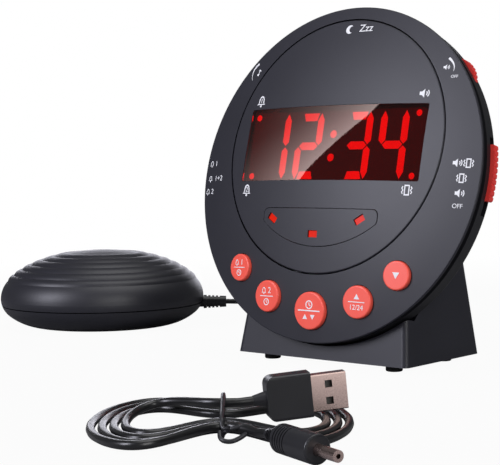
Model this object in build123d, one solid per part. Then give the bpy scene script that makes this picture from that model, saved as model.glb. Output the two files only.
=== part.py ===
from build123d import *
import math
import os

# Bed shaker alarm clock: a round clock on a wedge stand, a wired shaker and a tied power cord.
# Millimetres, +Z up, origin on the table under the middle of the stand, the face looks along -Y.

# Clock face. Places on it that follow its radius are shares of it.
FACE_RADIUS = 70.0
DOME_SAG = 7.0
FACE_TILT = 13.4
FACE_LIFT = 10.0
FACE_FORWARD = 22.2
WALL = 2.2
RIM_EDGE = 1.0
RIM_ROUND = 0.45
GROOVE_DEPTH = 2.8
SKIRT_WALL = 1.6
SKIRT_LAP = 1.1
SEAM_DEPTH = 11.2

# Rear housing, measured back from the middle of the face
BAND_INSET = 0.6
BAND_TAPER = 0.5
BAND_END = 17.5
BACK_RADIUS = 0.5857 * FACE_RADIUS
BACK_DEPTH = 43.5
BAND_ROUND = 1.2
BACK_ROUND = 4.0
SEAM_FIT = 0.15
DRUM_FIT = 0.3

# Snooze plate: the round inner part of the face, hinged near its lower edge
PLATE_RADIUS = 0.7614 * FACE_RADIUS
PLATE_RISE = 0.1557 * FACE_RADIUS
PLATE_GAP = 0.5
PLATE_ROUND = 0.5
SNOOZE_ANGLE = 0.7
HINGE_BELOW = 0.5214 * FACE_RADIUS
HINGE_BEHIND = 9.5
HINGE_EYE = 2.4
HINGE_PIN_RADIUS = 1.0
HINGE_PIN_FIT = 0.05
HINGE_HOLD_FIT = 0.02
HINGE_EAR_AT = 7.0
HINGE_EAR_WIDTH = 3.6
BRACKET_GAP = 0.6
BRACKET_WIDTH = 3.4
BRACKET_FOOT = 4.4
STOP_TAB_SIZE = 6.0
STOP_TAB_THICK = 2.0
STOP_TAB_GAP = 0.4
STOP_RIB_WIDTH = 2.5
STOP_EDGE = 1.0

# Display window and alert lights
WINDOW_WIDTH = 1.2857 * FACE_RADIUS
WINDOW_HEIGHT = 0.4486 * FACE_RADIUS
WINDOW_RISE = 0.16 * FACE_RADIUS
WINDOW_CORNER = 0.8
WINDOW_FIT = 0.1
WINDOW_SUNK = 0.15
WINDOW_THICK = 1.3
PANEL_HALF_WIDTH = 0.4143 * FACE_RADIUS
PANEL_TOP = -0.2271 * FACE_RADIUS
PANEL_END = -0.3071 * FACE_RADIUS
PANEL_BOTTOM = -0.4529 * FACE_RADIUS
PANEL_CORNER = 2.4
PANEL_FIT = 0.3
PANEL_PROUD = 0.15
LIGHT_WIDTH = 4.6
LIGHT_HEIGHT = 2.7
LIGHT_FIT = 0.08
LIGHT_SUNK = 0.5
LIGHT_THICK = 1.2
LIGHT_ASIDE = -0.0229 * FACE_RADIUS
LIGHT_SPREAD = 0.3186 * FACE_RADIUS
LIGHT_RISE = -0.29 * FACE_RADIUS
LIGHT_MIDDLE_RISE = -0.3786 * FACE_RADIUS
LIGHT_SLANT = 33.0

# Buttons on the lower ring of the face: name, angle from the right, cap radius as a share of the face's
BUTTON_RING = 0.8171 * FACE_RADIUS
BUTTONS = (
    ("alarm_1_button", 226.2, 0.0814),
    ("alarm_2_button", 246.6, 0.0929),
    ("time_button", 270.2, 0.1086),
    ("up_button", 293.6, 0.0929),
    ("down_button", 314.0, 0.0814),
)
BUTTON_PROUD = 1.6
BUTTON_ROUND = 0.6
BUTTON_FIT = 0.3
BUTTON_FLANGE = 0.7
BUTTON_FLANGE_THICK = 1.0
BUTTON_FLANGE_GAP = 0.4
BUTTON_STEM_RADIUS = 1.8
BUTTON_TRAVEL = 1.0
PRESS_GAP = 0.2

# Main board and what stands on it
BOARD_DEPTH = 17.6
BOARD_THICK = 1.6
BOARD_EDGE_GAP = 0.8
SWITCH_SIZE = 6.0
SWITCH_HEIGHT = 3.8
PLUNGER_RADIUS = 1.7
PLUNGER_HEIGHT = 0.8
SNOOZE_POST_RISE = 0.8 * FACE_RADIUS
SNOOZE_POST_RADIUS = 2.2
DISPLAY_INSET = 2.0
DISPLAY_INSET_HIGH = 0.9
DISPLAY_DEPTH = 7.0
DIGIT_INSET = 0.9
DIGIT_WIDTH = 0.1943 * FACE_RADIUS
DIGIT_PITCH = 0.2486 * FACE_RADIUS
DIGIT_HOUR_GAP = 0.3543 * FACE_RADIUS
DIGITS_ASIDE = -0.0286 * FACE_RADIUS
SEGMENT_WIDTH = 0.0457 * FACE_RADIUS
SEGMENT_GAP = 0.35
SEGMENT_TIP = 0.0414 * FACE_RADIUS
SEGMENT_END_GAP = 0.0171 * FACE_RADIUS
SEGMENT_END_SLANT = 0.0143 * FACE_RADIUS
SEGMENT_THICK = 0.5
SEGMENT_FIT = 0.05
DIGITS = "1234"
DIGIT_SEGMENTS = {"1": "bc", "2": "abged", "3": "abgcd", "4": "fgbc"}
COLON_RADIUS = 1.6
COLON_RISE = 0.07 * FACE_RADIUS
CORNER_DOT_RADIUS = 1.3
CORNER_DOT_ASIDE = 0.5843 * FACE_RADIUS
CORNER_DOT_RISE = 0.1814 * FACE_RADIUS
LED_RADIUS = 2.5
LED_BASE_RADIUS = 3.0
LED_BASE_HEIGHT = 4.0
LED_CLEAR = 3.5
CELL_RADIUS = 10.0
CELL_THICK = 3.2
CELL_FIT = 0.2
HOLDER_SIZE = 24.0
HOLDER_HEIGHT = 4.6
HOLDER_FLOOR = 1.0
HOLDER_ASIDE = -0.4286 * FACE_RADIUS
HOLDER_RISE = 0.2571 * FACE_RADIUS

# Thumbwheels and sliders in the band of the housing
SLOT_FRONT = 14.0
SLOT_WIDTH = 3.2
SLOT_FIT = 0.2
WHEEL_RADIUS = 10.5
WHEEL_PROUD = 1.2
WHEEL_FIT = 0.35
WHEEL_AIR = 0.6
WHEEL_ANGLE = 38.6
WHEEL_NOTCHES = 36
WHEEL_NOTCH_RADIUS = 0.35
POST_RADIUS = 2.0
POST_FIT = 0.05
POT_RADIUS = 4.0
SLIDER_PROUD = 1.5
SLIDER_ROUND = 1.0
SLIDER_DEPTH = 3.2
SLIDER_ANGLE = 1.2
SLIDER_SPAN = 18.2
MODE_TRAVEL = (-4.4, 2.2)
SELECT_TRAVEL = (-2.6, 2.6)
SLIDER_END_GAP = 0.4
SLIDER_RIBS = 10
SLIDER_RIB_CUT = 0.7
TONGUE_SPAN = 2.4
TONGUE_THICK = 1.4
TONGUE_REACH = 8.5
TONGUE_FIT = 0.3
SLIDE_SWITCH_LENGTH = 24.0
SLIDE_SWITCH_WIDTH = 7.0
SLIDE_SWITCH_INSET = 11.9
SLIDE_SWITCH_TOP = 12.7

# Screws
SCREW_RADIUS = 1.1
SCREW_HEAD_RADIUS = 2.1
SCREW_HEAD_HEIGHT = 1.4
SCREW_LENGTH = 11.0
SCREW_SLOT_WIDTH = 0.5
SCREW_SLOT_DEPTH = 0.9
SCREW_FIT = 0.05
SCREW_HOLE_FIT = 0.25
SCREW_END_GAP = 1.0
BOSS_RADIUS = 2.8
BOSS_INSET = 9.7
BOSS_ANGLES = (21.0, 159.0, 211.0, 329.0)
HEAD_SEAT_BELOW = 2.5

# Loudspeaker behind the back grille
SPEAKER_RADIUS = 25.0
SPEAKER_RISE = 0.1143 * FACE_RADIUS
SPEAKER_RIM = 2.0
SPEAKER_RIM_WIDTH = 3.0
BASKET_WALL = 1.2
SPEAKER_CLEAR = 4.1
MAGNET_RADIUS = 13.0
MAGNET_THICK = 7.0
COIL_RADIUS = 6.2
COIL_WALL = 0.5
COIL_GAP = 0.6
COIL_LENGTH = 6.0
CONE_RADIUS = 20.5
CONE_WALL = 0.6
CONE_CLEAR = 1.2
GRILLE_HOLE_RADIUS = 1.2
GRILLE_RINGS = 5
GRILLE_PITCH = 4.2

# Stand, base plate and feet
STAND_WIDTH = 86.4
STAND_DEPTH = 53.3
STAND_TOP = 47.0
STAND_SIDE_TAPER = 0.114
STAND_FRONT_LEAN = 0.179
STAND_REAR_LEAN = 0.10
STAND_CORNER = 2.5
STAND_WALL = 2.5
FOOT_HEIGHT = 3.0
FOOT_RADIUS = 3.4
FOOT_INSET_X = 12.0
FOOT_INSET_Y = 9.0
BASE_THICK = 2.2
BASE_FIT = 0.3
STAND_BOSS_RADIUS = 3.4
STAND_BOSS_INSET = 5.9
STAND_BOSS_AT = (-13.0, 14.0)
STAND_BOSS_HEIGHT = 12.0
POST_ASIDE = 22.0
POST_BACK = 6.0
HOUSING_POST_RADIUS = 3.5

# Jacks in the rear wall of the stand
JACK_HEIGHT = 19.0
POWER_JACK_ASIDE = 20.0
SHAKER_JACK_ASIDE = -20.0
JACK_NOSE_RADIUS = 3.9
JACK_NOSE_PROUD = 2.4
JACK_HOLE_FIT = 0.1
JACK_BODY = 11.0
JACK_POST_GAP = 1.55
JACK_BORE_RADIUS = 1.85
JACK_END_WALL = 2.4
JACK_PIN_RADIUS = 0.6
JACK_PIN_SUNK = 1.0
NUT_THICK = 1.9
NUT_FLATS = 10.0

# Shaker
SHAKER_X = -181.0
SHAKER_Y = 25.0
SHAKER_TURN = 40.7
SHAKER_RADIUS = 52.0
SHAKER_HEIGHT = 38.5
SHAKER_WAIST = 14.6
SHAKER_SEAM = 11.0
SHAKER_SIDE_ROUND = 11.0
SHAKER_FLAT = 31.0
SHAKER_WALL = 2.4
SHAKER_RIDGES = 6
RIDGE_BULGE = 0.6
RIDGE_FROM = 22.0
RIDGE_TO = 70.0
HOLLOW_SHOULDER = 60.0
SEAM_LINE = 0.5
MOTOR_RADIUS = 12.0
MOTOR_LENGTH = 26.0
MOTOR_BACK = -24.0
MOTOR_HEIGHT = 17.5
MOTOR_FIT = 0.05
MOTOR_NOSE_RADIUS = 4.0
MOTOR_NOSE = 2.0
SHAFT_RADIUS = 1.5
SHAFT_FIT = 0.05
SHAFT_IN_MOTOR = 8.0
WEIGHT_RADIUS = 13.0
WEIGHT_HUB_RADIUS = 4.0
WEIGHT_LENGTH = 10.0
WEIGHT_GAP = 3.0
CRADLE_LENGTH = 18.0
CRADLE_WIDTH = 38.0
CLAMP_WALL = 1.6
CLAMP_FOOT_THICK = 2.0
CLAMP_FIT = 0.2
SHAKER_SCREW_RING = 38.0
SHAKER_SCREW_ANGLES = (75.0, 195.0, 315.0)
SHAKER_BOSS_RADIUS = 3.0

# Strain reliefs and cords
SHAKER_CORD = 2.6
RELIEF_LENGTH = 11.6
RELIEF_ROOT_RADIUS = 3.5
RELIEF_TIP_RADIUS = 2.8
RELIEF_NECK_RADIUS = 2.7
RELIEF_NECK_LENGTH = 5.0
RELIEF_FIT = 0.15
RELIEF_RIBS = 4
RELIEF_RIB_SHARE = 0.85
RELIEF_RIB_CUT = 0.9
RELIEF_RIB_DEPTH = 0.6
COIL_CENTRE = (-48.0, 100.0)
COIL_OUTER = 20.1
COIL_PITCH = 3.08
COIL_LAYERS = 4
COIL_TURNS = 3.5
COIL_LAST_TURNS = 3.25
RUN_ALONG = (14.0, 31.0, 48.0)
RUN_ASIDE = ((-1.0, 1.5), (-2.0, 4.0))
RUN_DROP = 5.5
RUN_LEAD = 17.0
TAIL_LEAD = 9.0
TAIL_PLUG_LEAD = 8.0
TAIL_LIFT = 0.4
TIE_THICK = 0.8
TIE_WIDTH = 4.0
TIE_FIT = 0.5

# Jack plug on the shaker cord
JACK_PLUG_RADIUS = 4.2
JACK_PLUG_LENGTH = 18.0
JACK_PLUG_ROUND = 0.8
JACK_PLUG_TAPER = 7.0
JACK_PLUG_GAP = 0.3
JACK_PLUG_PIN_RADIUS = 1.75
JACK_PLUG_PIN_SHORT = 0.8

# Power cord, tied in a flat hank in front of the clock
POWER_CORD = 2.9
HANK_CENTRE = (53.5, -143.9)
HANK_TURN = 40.77
HANK_HALF_LENGTH = 30.0
HANK_HALF_DEPTH = 38.0
HANK_WAIST = 3.0
HANK_WAIST_REACH = 22.5
HANK_WAIST_STEP = 1.4
HANK_STEP_LONG = 3.6
HANK_STEP_DEEP = 4.8
HANK_TIE_LIFT = 1.1
HANK_TURNS = 3.5
HANK_FIRST = -0.03
HANK_RISE = 4.6
HANK_FIRST_RISE = 1.7
HANK_RISE_TURN = 0.3
HANK_PIECES = 112
TIE_TWIST = 14.0
TIE_TWIST_STEPS = 7
TIE_TWIST_ANGLE = 60.0
TIE_TWIST_WIDTH = 2.4
HANK_TIE_WIDTH = 1.6

# USB plug standing on its narrow side, and barrel plug lying in front of the hank
USB_ROOT = (9.4, 3.4)
USB_ROOT_HEIGHT = 7.6
USB_HEADING = 10.0
USB_PITCH = 5.0
USB_RELIEF_LENGTH = 4.2
USB_RELIEF_RADIUS = 2.6
USB_GRIP_LENGTH = 14.5
USB_GRIP_WIDTH = 14.6
USB_GRIP_THICK = 7.6
USB_GRIP_ROUND = 1.2
USB_GRIP_SHOULDER = 3.0
USB_SHELL_WIDTH = 12.0
USB_SHELL_THICK = 4.5
USB_SHELL_LENGTH = 11.8
USB_SHELL_WALL = 0.35
USB_SHELL_SUNK = 3.0
USB_TONGUE_THICK = 1.8
USB_TONGUE_SHORT = 1.0
USB_WINDOW = 2.4
USB_WINDOW_ASIDE = 2.7
USB_FIT = 0.05
BARREL_ROOT = (13.7, -34.3)
BARREL_HEADING = -60.0
BARREL_RELIEF_LENGTH = 7.5
BARREL_RELIEF_RADIUS = 3.2
BARREL_GRIP_LENGTH = 19.5
BARREL_GRIP_RADIUS = 4.4
BARREL_GRIP_ROUND = 0.8
BARREL_RADIUS = 1.75
BARREL_BORE = 0.7
BARREL_LENGTH = 10.0
BARREL_SUNK = 4.0
BARREL_ROOT_RADIUS = 1.4
BARREL_RINGS = 5
BARREL_RING_PITCH = 1.3
BARREL_RING_CUT = 0.5
BARREL_RING_DEPTH = 0.35

# Worked-out sizes and places
FACE_HEIGHT = FACE_RADIUS + FACE_LIFT
DISPLAY_WIDTH = WINDOW_WIDTH - 2 * DISPLAY_INSET
DISPLAY_HEIGHT = WINDOW_HEIGHT - 2 * DISPLAY_INSET_HIGH
DIGIT_HEIGHT = DISPLAY_HEIGHT - 2 * DIGIT_INSET
DOME_RADIUS = (FACE_RADIUS**2 + DOME_SAG**2) / (2 * DOME_SAG)
GROOVE_RADIUS = FACE_RADIUS - GROOVE_DEPTH
SKIRT_END = SEAM_DEPTH + SKIRT_LAP
BAND_RADIUS = FACE_RADIUS - BAND_INSET
BAND_END_RADIUS = BAND_RADIUS - BAND_TAPER
BOARD_REAR = BOARD_DEPTH + BOARD_THICK
BASKET_DEPTH = BACK_DEPTH - WALL - BOARD_REAR - MAGNET_THICK - SPEAKER_CLEAR
SLOT_BACK = SLOT_FRONT + SLOT_WIDTH
SLIDE_SWITCH_AT = BAND_RADIUS - SLIDE_SWITCH_INSET
BOSS_RING = FACE_RADIUS - BOSS_INSET
WHEEL_RING = BAND_RADIUS + WHEEL_PROUD - WHEEL_RADIUS
PLUNGER_TOP = BOARD_DEPTH - SWITCH_HEIGHT - PLUNGER_HEIGHT
MODE_ANGLE = SLIDER_ANGLE
SELECT_ANGLE = 180.0 - SLIDER_ANGLE
REAR_WALL_AT = STAND_DEPTH / 2 - STAND_REAR_LEAN * (JACK_HEIGHT - FOOT_HEIGHT)
JACK_BODY_DEPTH = REAR_WALL_AT - STAND_WALL - POST_BACK - HOUSING_POST_RADIUS - JACK_POST_GAP
JACK_BORE_DEPTH = JACK_NOSE_PROUD + STAND_WALL + JACK_BODY_DEPTH - JACK_END_WALL
JACK_PLUG_PIN_LENGTH = JACK_BORE_DEPTH + JACK_PLUG_GAP - JACK_PLUG_PIN_SHORT

DRUM = Plane(
    origin=(0, -FACE_FORWARD, FACE_HEIGHT),
    x_dir=(1, 0, 0),
    z_dir=(0, -math.cos(math.radians(FACE_TILT)), math.sin(math.radians(FACE_TILT))),
)
SHAKER = Location((SHAKER_X, SHAKER_Y, 0), (0, 0, SHAKER_TURN))
HANK = Location((HANK_CENTRE[0], HANK_CENTRE[1], 0), (0, 0, HANK_TURN))


def polar(radius, angle):
    """Point on a circle about the origin, angle in degrees."""
    turn = math.radians(angle)
    return radius * math.cos(turn), radius * math.sin(turn)


def dome_z(radius, below=0.0):
    """Height of the domed face, or of a surface that far below it, at a radius from its middle."""
    return math.sqrt((DOME_RADIUS - below) ** 2 - radius**2) - DOME_RADIUS


def ball(below):
    """Sphere whose front is the domed face, that far below it."""
    return Pos(0, 0, -DOME_RADIUS) * Rot(90, 0, 0) * Sphere(DOME_RADIUS - below)


def domed(outline, top, bottom):
    """Piece of the given outline between two depths below the domed face."""
    deep = BACK_DEPTH
    prism = extrude(Pos(0, 0, -deep) * outline, amount=2 * deep)
    return (prism & ball(top)) - ball(bottom)


def box_between(x, y, z):
    """Box from three pairs of limits."""
    size = [pair[1] - pair[0] for pair in (x, y, z)]
    centre = [(pair[1] + pair[0]) / 2 for pair in (x, y, z)]
    return Pos(*centre) * Box(*size)


def rod(radius, bottom, top, at=(0.0, 0.0)):
    """Upright cylinder between two heights."""
    return Pos(at[0], at[1], bottom) * extrude(Circle(radius), amount=top - bottom)


def turned(points):
    """Solid of revolution about Z of an outline given as (radius, height) points."""
    return revolve(Plane.XZ * make_face(Polyline(*points, close=True)), Axis.Z)


def sector(inner, outer, bottom, top, start, end):
    """Part of a ring between two radii, two heights and two angles in degrees."""
    section = Plane.XZ * Pos((inner + outer) / 2, (bottom + top) / 2) * Rectangle(outer - inner, top - bottom)
    return Rot(0, 0, start) * revolve(section, Axis.Z, revolution_arc=end - start)


def round_edges(solid, radius, at_radius, at_height):
    """Fillet the full circles of that radius nearest to that height."""
    rings = [e for e in solid.edges().filter_by(GeomType.CIRCLE) if abs(e.radius - at_radius) < 1e-4]
    nearest = min(abs(e.arc_center.Z - at_height) for e in rings)
    return fillet([e for e in rings if abs(abs(e.arc_center.Z - at_height) - nearest) < 1e-4], radius)


def screw():
    """Pan-head screw, head on top at z 0, thread downwards."""
    head = round_edges(rod(SCREW_HEAD_RADIUS, 0, SCREW_HEAD_HEIGHT), SCREW_HEAD_HEIGHT * 0.4,
                       SCREW_HEAD_RADIUS, SCREW_HEAD_HEIGHT)
    slot = Pos(0, 0, SCREW_HEAD_HEIGHT) * Box(SCREW_HEAD_RADIUS * 1.5, SCREW_SLOT_WIDTH, SCREW_SLOT_DEPTH)
    cross = Rot(0, 0, 90) * slot
    return head + rod(SCREW_RADIUS, -SCREW_LENGTH, 0) - slot - cross


def face_plane(x, y):
    """Plane on the domed face at a point, looking out along the face's normal there."""
    z = dome_z(math.hypot(x, y))
    normal = Vector(x, y, z + DOME_RADIUS).normalized()
    return Plane(origin=(x, y, z), x_dir=(normal.Z, 0, -normal.X), z_dir=normal)


# Clock face

def window_outline(shrink):
    return Pos(0, WINDOW_RISE) * RectangleRounded(
        WINDOW_WIDTH - 2 * shrink, WINDOW_HEIGHT - 2 * shrink, WINDOW_CORNER)


def panel_outline(shrink):
    """Smile shape: straight on top, an arc below, round at its two ends."""
    half = PANEL_HALF_WIDTH - shrink
    top = PANEL_TOP - shrink
    end = PANEL_END
    bottom = PANEL_BOTTOM + shrink
    edge = Curve() + [
        Line((-half, top), (half, top)),
        Line((half, top), (half, end)),
        ThreePointArc((half, end), (0, bottom), (-half, end)),
        Line((-half, end), (-half, top)),
    ]
    smile = make_face(edge)
    return fillet(smile.vertices(), PANEL_CORNER)


def light_places():
    """Location of each of the three alert lights on the face."""
    return [
        Pos(LIGHT_ASIDE - LIGHT_SPREAD, LIGHT_RISE) * Rot(0, 0, -LIGHT_SLANT),
        Pos(LIGHT_ASIDE, LIGHT_MIDDLE_RISE),
        Pos(LIGHT_ASIDE + LIGHT_SPREAD, LIGHT_RISE) * Rot(0, 0, LIGHT_SLANT),
    ]


def front_cover():
    """Domed ring with a thin rim, a skirt that nests in the housing, bosses and hinge brackets."""
    inside = GROOVE_RADIUS - SKIRT_WALL
    half = FACE_RADIUS / 2
    rim_back = -DOME_SAG - RIM_EDGE
    inner_edge = dome_z(inside, WALL)
    edge = Curve() + [
        ThreePointArc((0, 0), (half, dome_z(half)), (FACE_RADIUS, -DOME_SAG)),
        Polyline((FACE_RADIUS, -DOME_SAG), (FACE_RADIUS, rim_back), (GROOVE_RADIUS, rim_back),
                 (GROOVE_RADIUS, -SKIRT_END), (inside, -SKIRT_END), (inside, inner_edge)),
        ThreePointArc((inside, inner_edge), (inside / 2, dome_z(inside / 2, WALL)), (0, -WALL)),
        Line((0, -WALL), (0, 0)),
    ]
    cover = revolve(Plane.XZ * make_face(edge), Axis.Z)
    cover = round_edges(cover, RIM_ROUND, FACE_RADIUS, -DOME_SAG)
    cover -= rod(PLATE_RADIUS + PLATE_GAP, -FACE_RADIUS, FACE_RADIUS, (0, PLATE_RISE))
    for angle in BOSS_ANGLES:
        at = polar(BOSS_RING, angle)
        boss_top = dome_z(BOSS_RING + BOSS_RADIUS, WALL / 4)
        cover += rod(BOSS_RADIUS, -BOARD_DEPTH, boss_top, at)
        reach = HEAD_SEAT_BELOW + BOARD_THICK
        deep = SCREW_LENGTH - reach + SCREW_END_GAP
        cover -= rod(SCREW_RADIUS + SCREW_FIT, -BOARD_DEPTH, -BOARD_DEPTH + deep, at)
    for side in (-1, 1):
        near = HINGE_EAR_AT + HINGE_EAR_WIDTH / 2 + BRACKET_GAP
        x = sorted((side * near, side * (near + BRACKET_WIDTH)))
        ring_edge = PLATE_RISE - math.sqrt((PLATE_RADIUS + PLATE_GAP) ** 2 - max(map(abs, x)) ** 2)
        foot = (PLATE_RISE - PLATE_RADIUS - PLATE_GAP - BRACKET_FOOT, ring_edge - PLATE_GAP)
        eye = (-HINGE_BEHIND - HINGE_EYE, -HINGE_BEHIND + HINGE_EYE)
        foot_top = dome_z(math.hypot(max(map(abs, x)), foot[0]), WALL / 3)
        cover += box_between(x, foot, (eye[0], foot_top))
        cover += box_between(x, (foot[0], -HINGE_BELOW + HINGE_EYE), eye)
    cover -= hinge_bore(HINGE_PIN_RADIUS + HINGE_HOLD_FIT)
    for _, angle, radius in BUTTONS:
        hole = extrude(Circle(radius * FACE_RADIUS + BUTTON_FIT), amount=3 * WALL, both=True)
        cover -= face_plane(*polar(BUTTON_RING, angle)) * hole
    return cover


def hinge_bore(radius):
    """Cylinder along the snooze hinge's axis."""
    return Pos(0, -HINGE_BELOW, -HINGE_BEHIND) * Rot(0, 90, 0) * Cylinder(radius, FACE_RADIUS)


def snooze_plate():
    """Pressed disc of the face, with hinge ears, stop tabs and the post that works its switch."""
    plate = domed(Pos(0, PLATE_RISE) * Circle(PLATE_RADIUS), 0, WALL)
    rim = [e for e in plate.edges() if e.length > PLATE_RADIUS * 6]
    front = max(rim, key=lambda e: e.center(CenterOf.BOUNDING_BOX).Z)
    plate = fillet([front], PLATE_ROUND)
    deep = 3 * WALL
    plate -= extrude(Pos(0, 0, -deep) * window_outline(0), amount=2 * deep)
    plate -= extrude(Pos(0, 0, -deep) * panel_outline(0), amount=2 * deep)
    for side in (-1, 1):
        x = (side * HINGE_EAR_AT - HINGE_EAR_WIDTH / 2, side * HINGE_EAR_AT + HINGE_EAR_WIDTH / 2)
        y = (-HINGE_BELOW - HINGE_EYE, -HINGE_BELOW + HINGE_EYE)
        ear_top = dome_z(math.hypot(HINGE_EAR_AT + HINGE_EAR_WIDTH / 2, y[0]), WALL / 3)
        plate += box_between(x, y, (-HINGE_BEHIND - HINGE_EYE, ear_top))
        edge = math.sqrt(PLATE_RADIUS**2 - (PLATE_RISE + STOP_TAB_SIZE / 2) ** 2) - STOP_RIB_WIDTH / 2
        rib = sorted((side * (edge - STOP_RIB_WIDTH), side * edge))
        tab = sorted((side * (edge - STOP_RIB_WIDTH), side * (edge + STOP_TAB_SIZE)))
        tab_top = dome_z(edge + STOP_TAB_SIZE + STOP_EDGE, WALL) - STOP_TAB_GAP
        half = (-STOP_TAB_SIZE / 2, STOP_TAB_SIZE / 2)
        plate += box_between(rib, half, (tab_top - STOP_TAB_THICK, dome_z(edge + STOP_EDGE, WALL / 3)))
        plate += box_between(tab, half, (tab_top - STOP_TAB_THICK, tab_top))
    plate -= hinge_bore(HINGE_PIN_RADIUS + HINGE_PIN_FIT)
    press = math.radians(SNOOZE_ANGLE) * (SNOOZE_POST_RISE + HINGE_BELOW)
    post_top = dome_z(SNOOZE_POST_RISE + SNOOZE_POST_RADIUS, WALL / 3)
    plate += rod(SNOOZE_POST_RADIUS, -PLUNGER_TOP + press + PRESS_GAP, post_top, (0, SNOOZE_POST_RISE))
    return plate


def hinge_pin():
    length = 2 * (HINGE_EAR_AT + HINGE_EAR_WIDTH / 2 + BRACKET_GAP + BRACKET_WIDTH)
    return Pos(0, -HINGE_BELOW, -HINGE_BEHIND) * Rot(0, 90, 0) * Cylinder(HINGE_PIN_RADIUS, length)


def display_window():
    return domed(window_outline(WINDOW_FIT), WINDOW_SUNK, WINDOW_SUNK + WINDOW_THICK)


def alert_panel():
    panel = domed(panel_outline(PANEL_FIT), -PANEL_PROUD, WALL)
    for place in light_places():
        slot = Rectangle(LIGHT_WIDTH + 2 * LIGHT_FIT, LIGHT_HEIGHT + 2 * LIGHT_FIT)
        panel -= extrude(Pos(0, 0, -FACE_RADIUS) * place * slot, amount=2 * FACE_RADIUS)
    return panel


def alert_lenses():
    lens = Rectangle(LIGHT_WIDTH, LIGHT_HEIGHT)
    return [domed(place * lens, LIGHT_SUNK, LIGHT_SUNK + LIGHT_THICK) for place in light_places()]


def stem_length(plane):
    """Length along a button's normal from the face to just above its switch."""
    lean = BUTTON_STEM_RADIUS * math.hypot(plane.z_dir.X, plane.z_dir.Y)
    stop = -PLUNGER_TOP + BUTTON_TRAVEL + PRESS_GAP + lean
    return (plane.origin.Z - stop) / plane.z_dir.Z


def button(angle, radius):
    """Round cap that stands proud of the face, with a flange behind it and a stem to its switch."""
    plane = face_plane(*polar(BUTTON_RING, angle))
    flange_top = -WALL - BUTTON_FLANGE_GAP
    cap = round_edges(rod(radius, flange_top, BUTTON_PROUD), BUTTON_ROUND, radius, BUTTON_PROUD)
    cap += rod(radius + BUTTON_FLANGE, flange_top - BUTTON_FLANGE_THICK, flange_top)
    cap += rod(BUTTON_STEM_RADIUS, -stem_length(plane), flange_top)
    return plane * cap


# Inside the drum

def push_switches():
    """A push switch under each button's stem and under the snooze plate's post."""
    places = [(0, SNOOZE_POST_RISE)]
    for _, angle, _ in BUTTONS:
        plane = face_plane(*polar(BUTTON_RING, angle))
        end = plane.origin - plane.z_dir * stem_length(plane)
        places.append((end.X, end.Y))
    top = -BOARD_DEPTH + SWITCH_HEIGHT
    body = box_between(*[(-SWITCH_SIZE / 2, SWITCH_SIZE / 2)] * 2, (-BOARD_DEPTH, top))
    body += rod(PLUNGER_RADIUS, top, -PLUNGER_TOP)
    return [Pos(x, y) * body for x, y in places]


def main_board():
    radius = band_inner_radius(BOARD_REAR) - BOARD_EDGE_GAP
    board = rod(radius, -BOARD_REAR, -BOARD_DEPTH)
    for angle in BOSS_ANGLES:
        board -= rod(SCREW_RADIUS + SCREW_HOLE_FIT, -BOARD_REAR, -BOARD_DEPTH, polar(BOSS_RING, angle))
    return board


def segment_shapes():
    """Outlines of the seven strokes of a digit, keyed a to g, centred on the digit."""
    half_w, half_h = (DIGIT_WIDTH - SEGMENT_WIDTH) / 2, DIGIT_HEIGHT / 2
    half = SEGMENT_WIDTH / 2
    tip = half_w - SEGMENT_GAP
    level = make_face(Polyline((-tip, 0), (half - tip, half), (tip - half, half), (tip, 0), (tip - half, -half),
                               (half - tip, -half), close=True))
    low, high = SEGMENT_GAP + half, half_h - SEGMENT_TIP
    upright = make_face(Polyline((0, SEGMENT_GAP), (half, low), (half, high), (0, half_h), (-half, high),
                                 (-half, low), close=True))
    outer = half_w - SEGMENT_END_GAP
    inner, under = outer - SEGMENT_END_SLANT, half_h - SEGMENT_WIDTH
    top = make_face(Polyline((-outer, half_h), (outer, half_h), (inner, under), (-inner, under), close=True))
    turn = Rot(0, 0, 180)
    return {
        "a": top, "g": level, "d": turn * top,
        "f": Pos(-half_w) * upright, "b": Pos(half_w) * upright,
        "e": turn * Pos(half_w) * upright, "c": turn * Pos(-half_w) * upright,
    }


def lit_outlines():
    """Outlines of every lit stroke and dot of the readout."""
    shapes = segment_shapes()
    near = DIGIT_HOUR_GAP / 2
    columns = (-near - DIGIT_PITCH, -near, near, near + DIGIT_PITCH)
    outlines = []
    for digit, column in zip(DIGITS, columns):
        place = Pos(DIGITS_ASIDE + column, WINDOW_RISE)
        outlines += [place * shapes[key] for key in DIGIT_SEGMENTS[digit]]
    for rise in (-COLON_RISE, COLON_RISE):
        outlines.append(Pos(DIGITS_ASIDE, WINDOW_RISE + rise) * Circle(COLON_RADIUS))
    for x in (-CORNER_DOT_ASIDE, CORNER_DOT_ASIDE):
        for y in (-CORNER_DOT_RISE, CORNER_DOT_RISE):
            outlines.append(Pos(DIGITS_ASIDE + x, WINDOW_RISE + y) * Circle(CORNER_DOT_RADIUS))
    return outlines


def led_display():
    """Display block on the board, with a pocket for each lit stroke."""
    wide = (-DISPLAY_WIDTH / 2 + DIGITS_ASIDE, DISPLAY_WIDTH / 2 + DIGITS_ASIDE)
    high = (WINDOW_RISE - DISPLAY_HEIGHT / 2, WINDOW_RISE + DISPLAY_HEIGHT / 2)
    block = box_between(wide, high, (-BOARD_DEPTH, -DISPLAY_DEPTH))
    floor = -DISPLAY_DEPTH - SEGMENT_THICK
    pockets = [extrude(Pos(0, 0, floor) * offset(o, SEGMENT_FIT, kind=Kind.INTERSECTION), amount=FACE_RADIUS)
               for o in lit_outlines()]
    return block - pockets


def lit_segments():
    floor = -DISPLAY_DEPTH - SEGMENT_THICK
    return [extrude(Pos(0, 0, floor) * outline, amount=SEGMENT_THICK) for outline in lit_outlines()]


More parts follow.
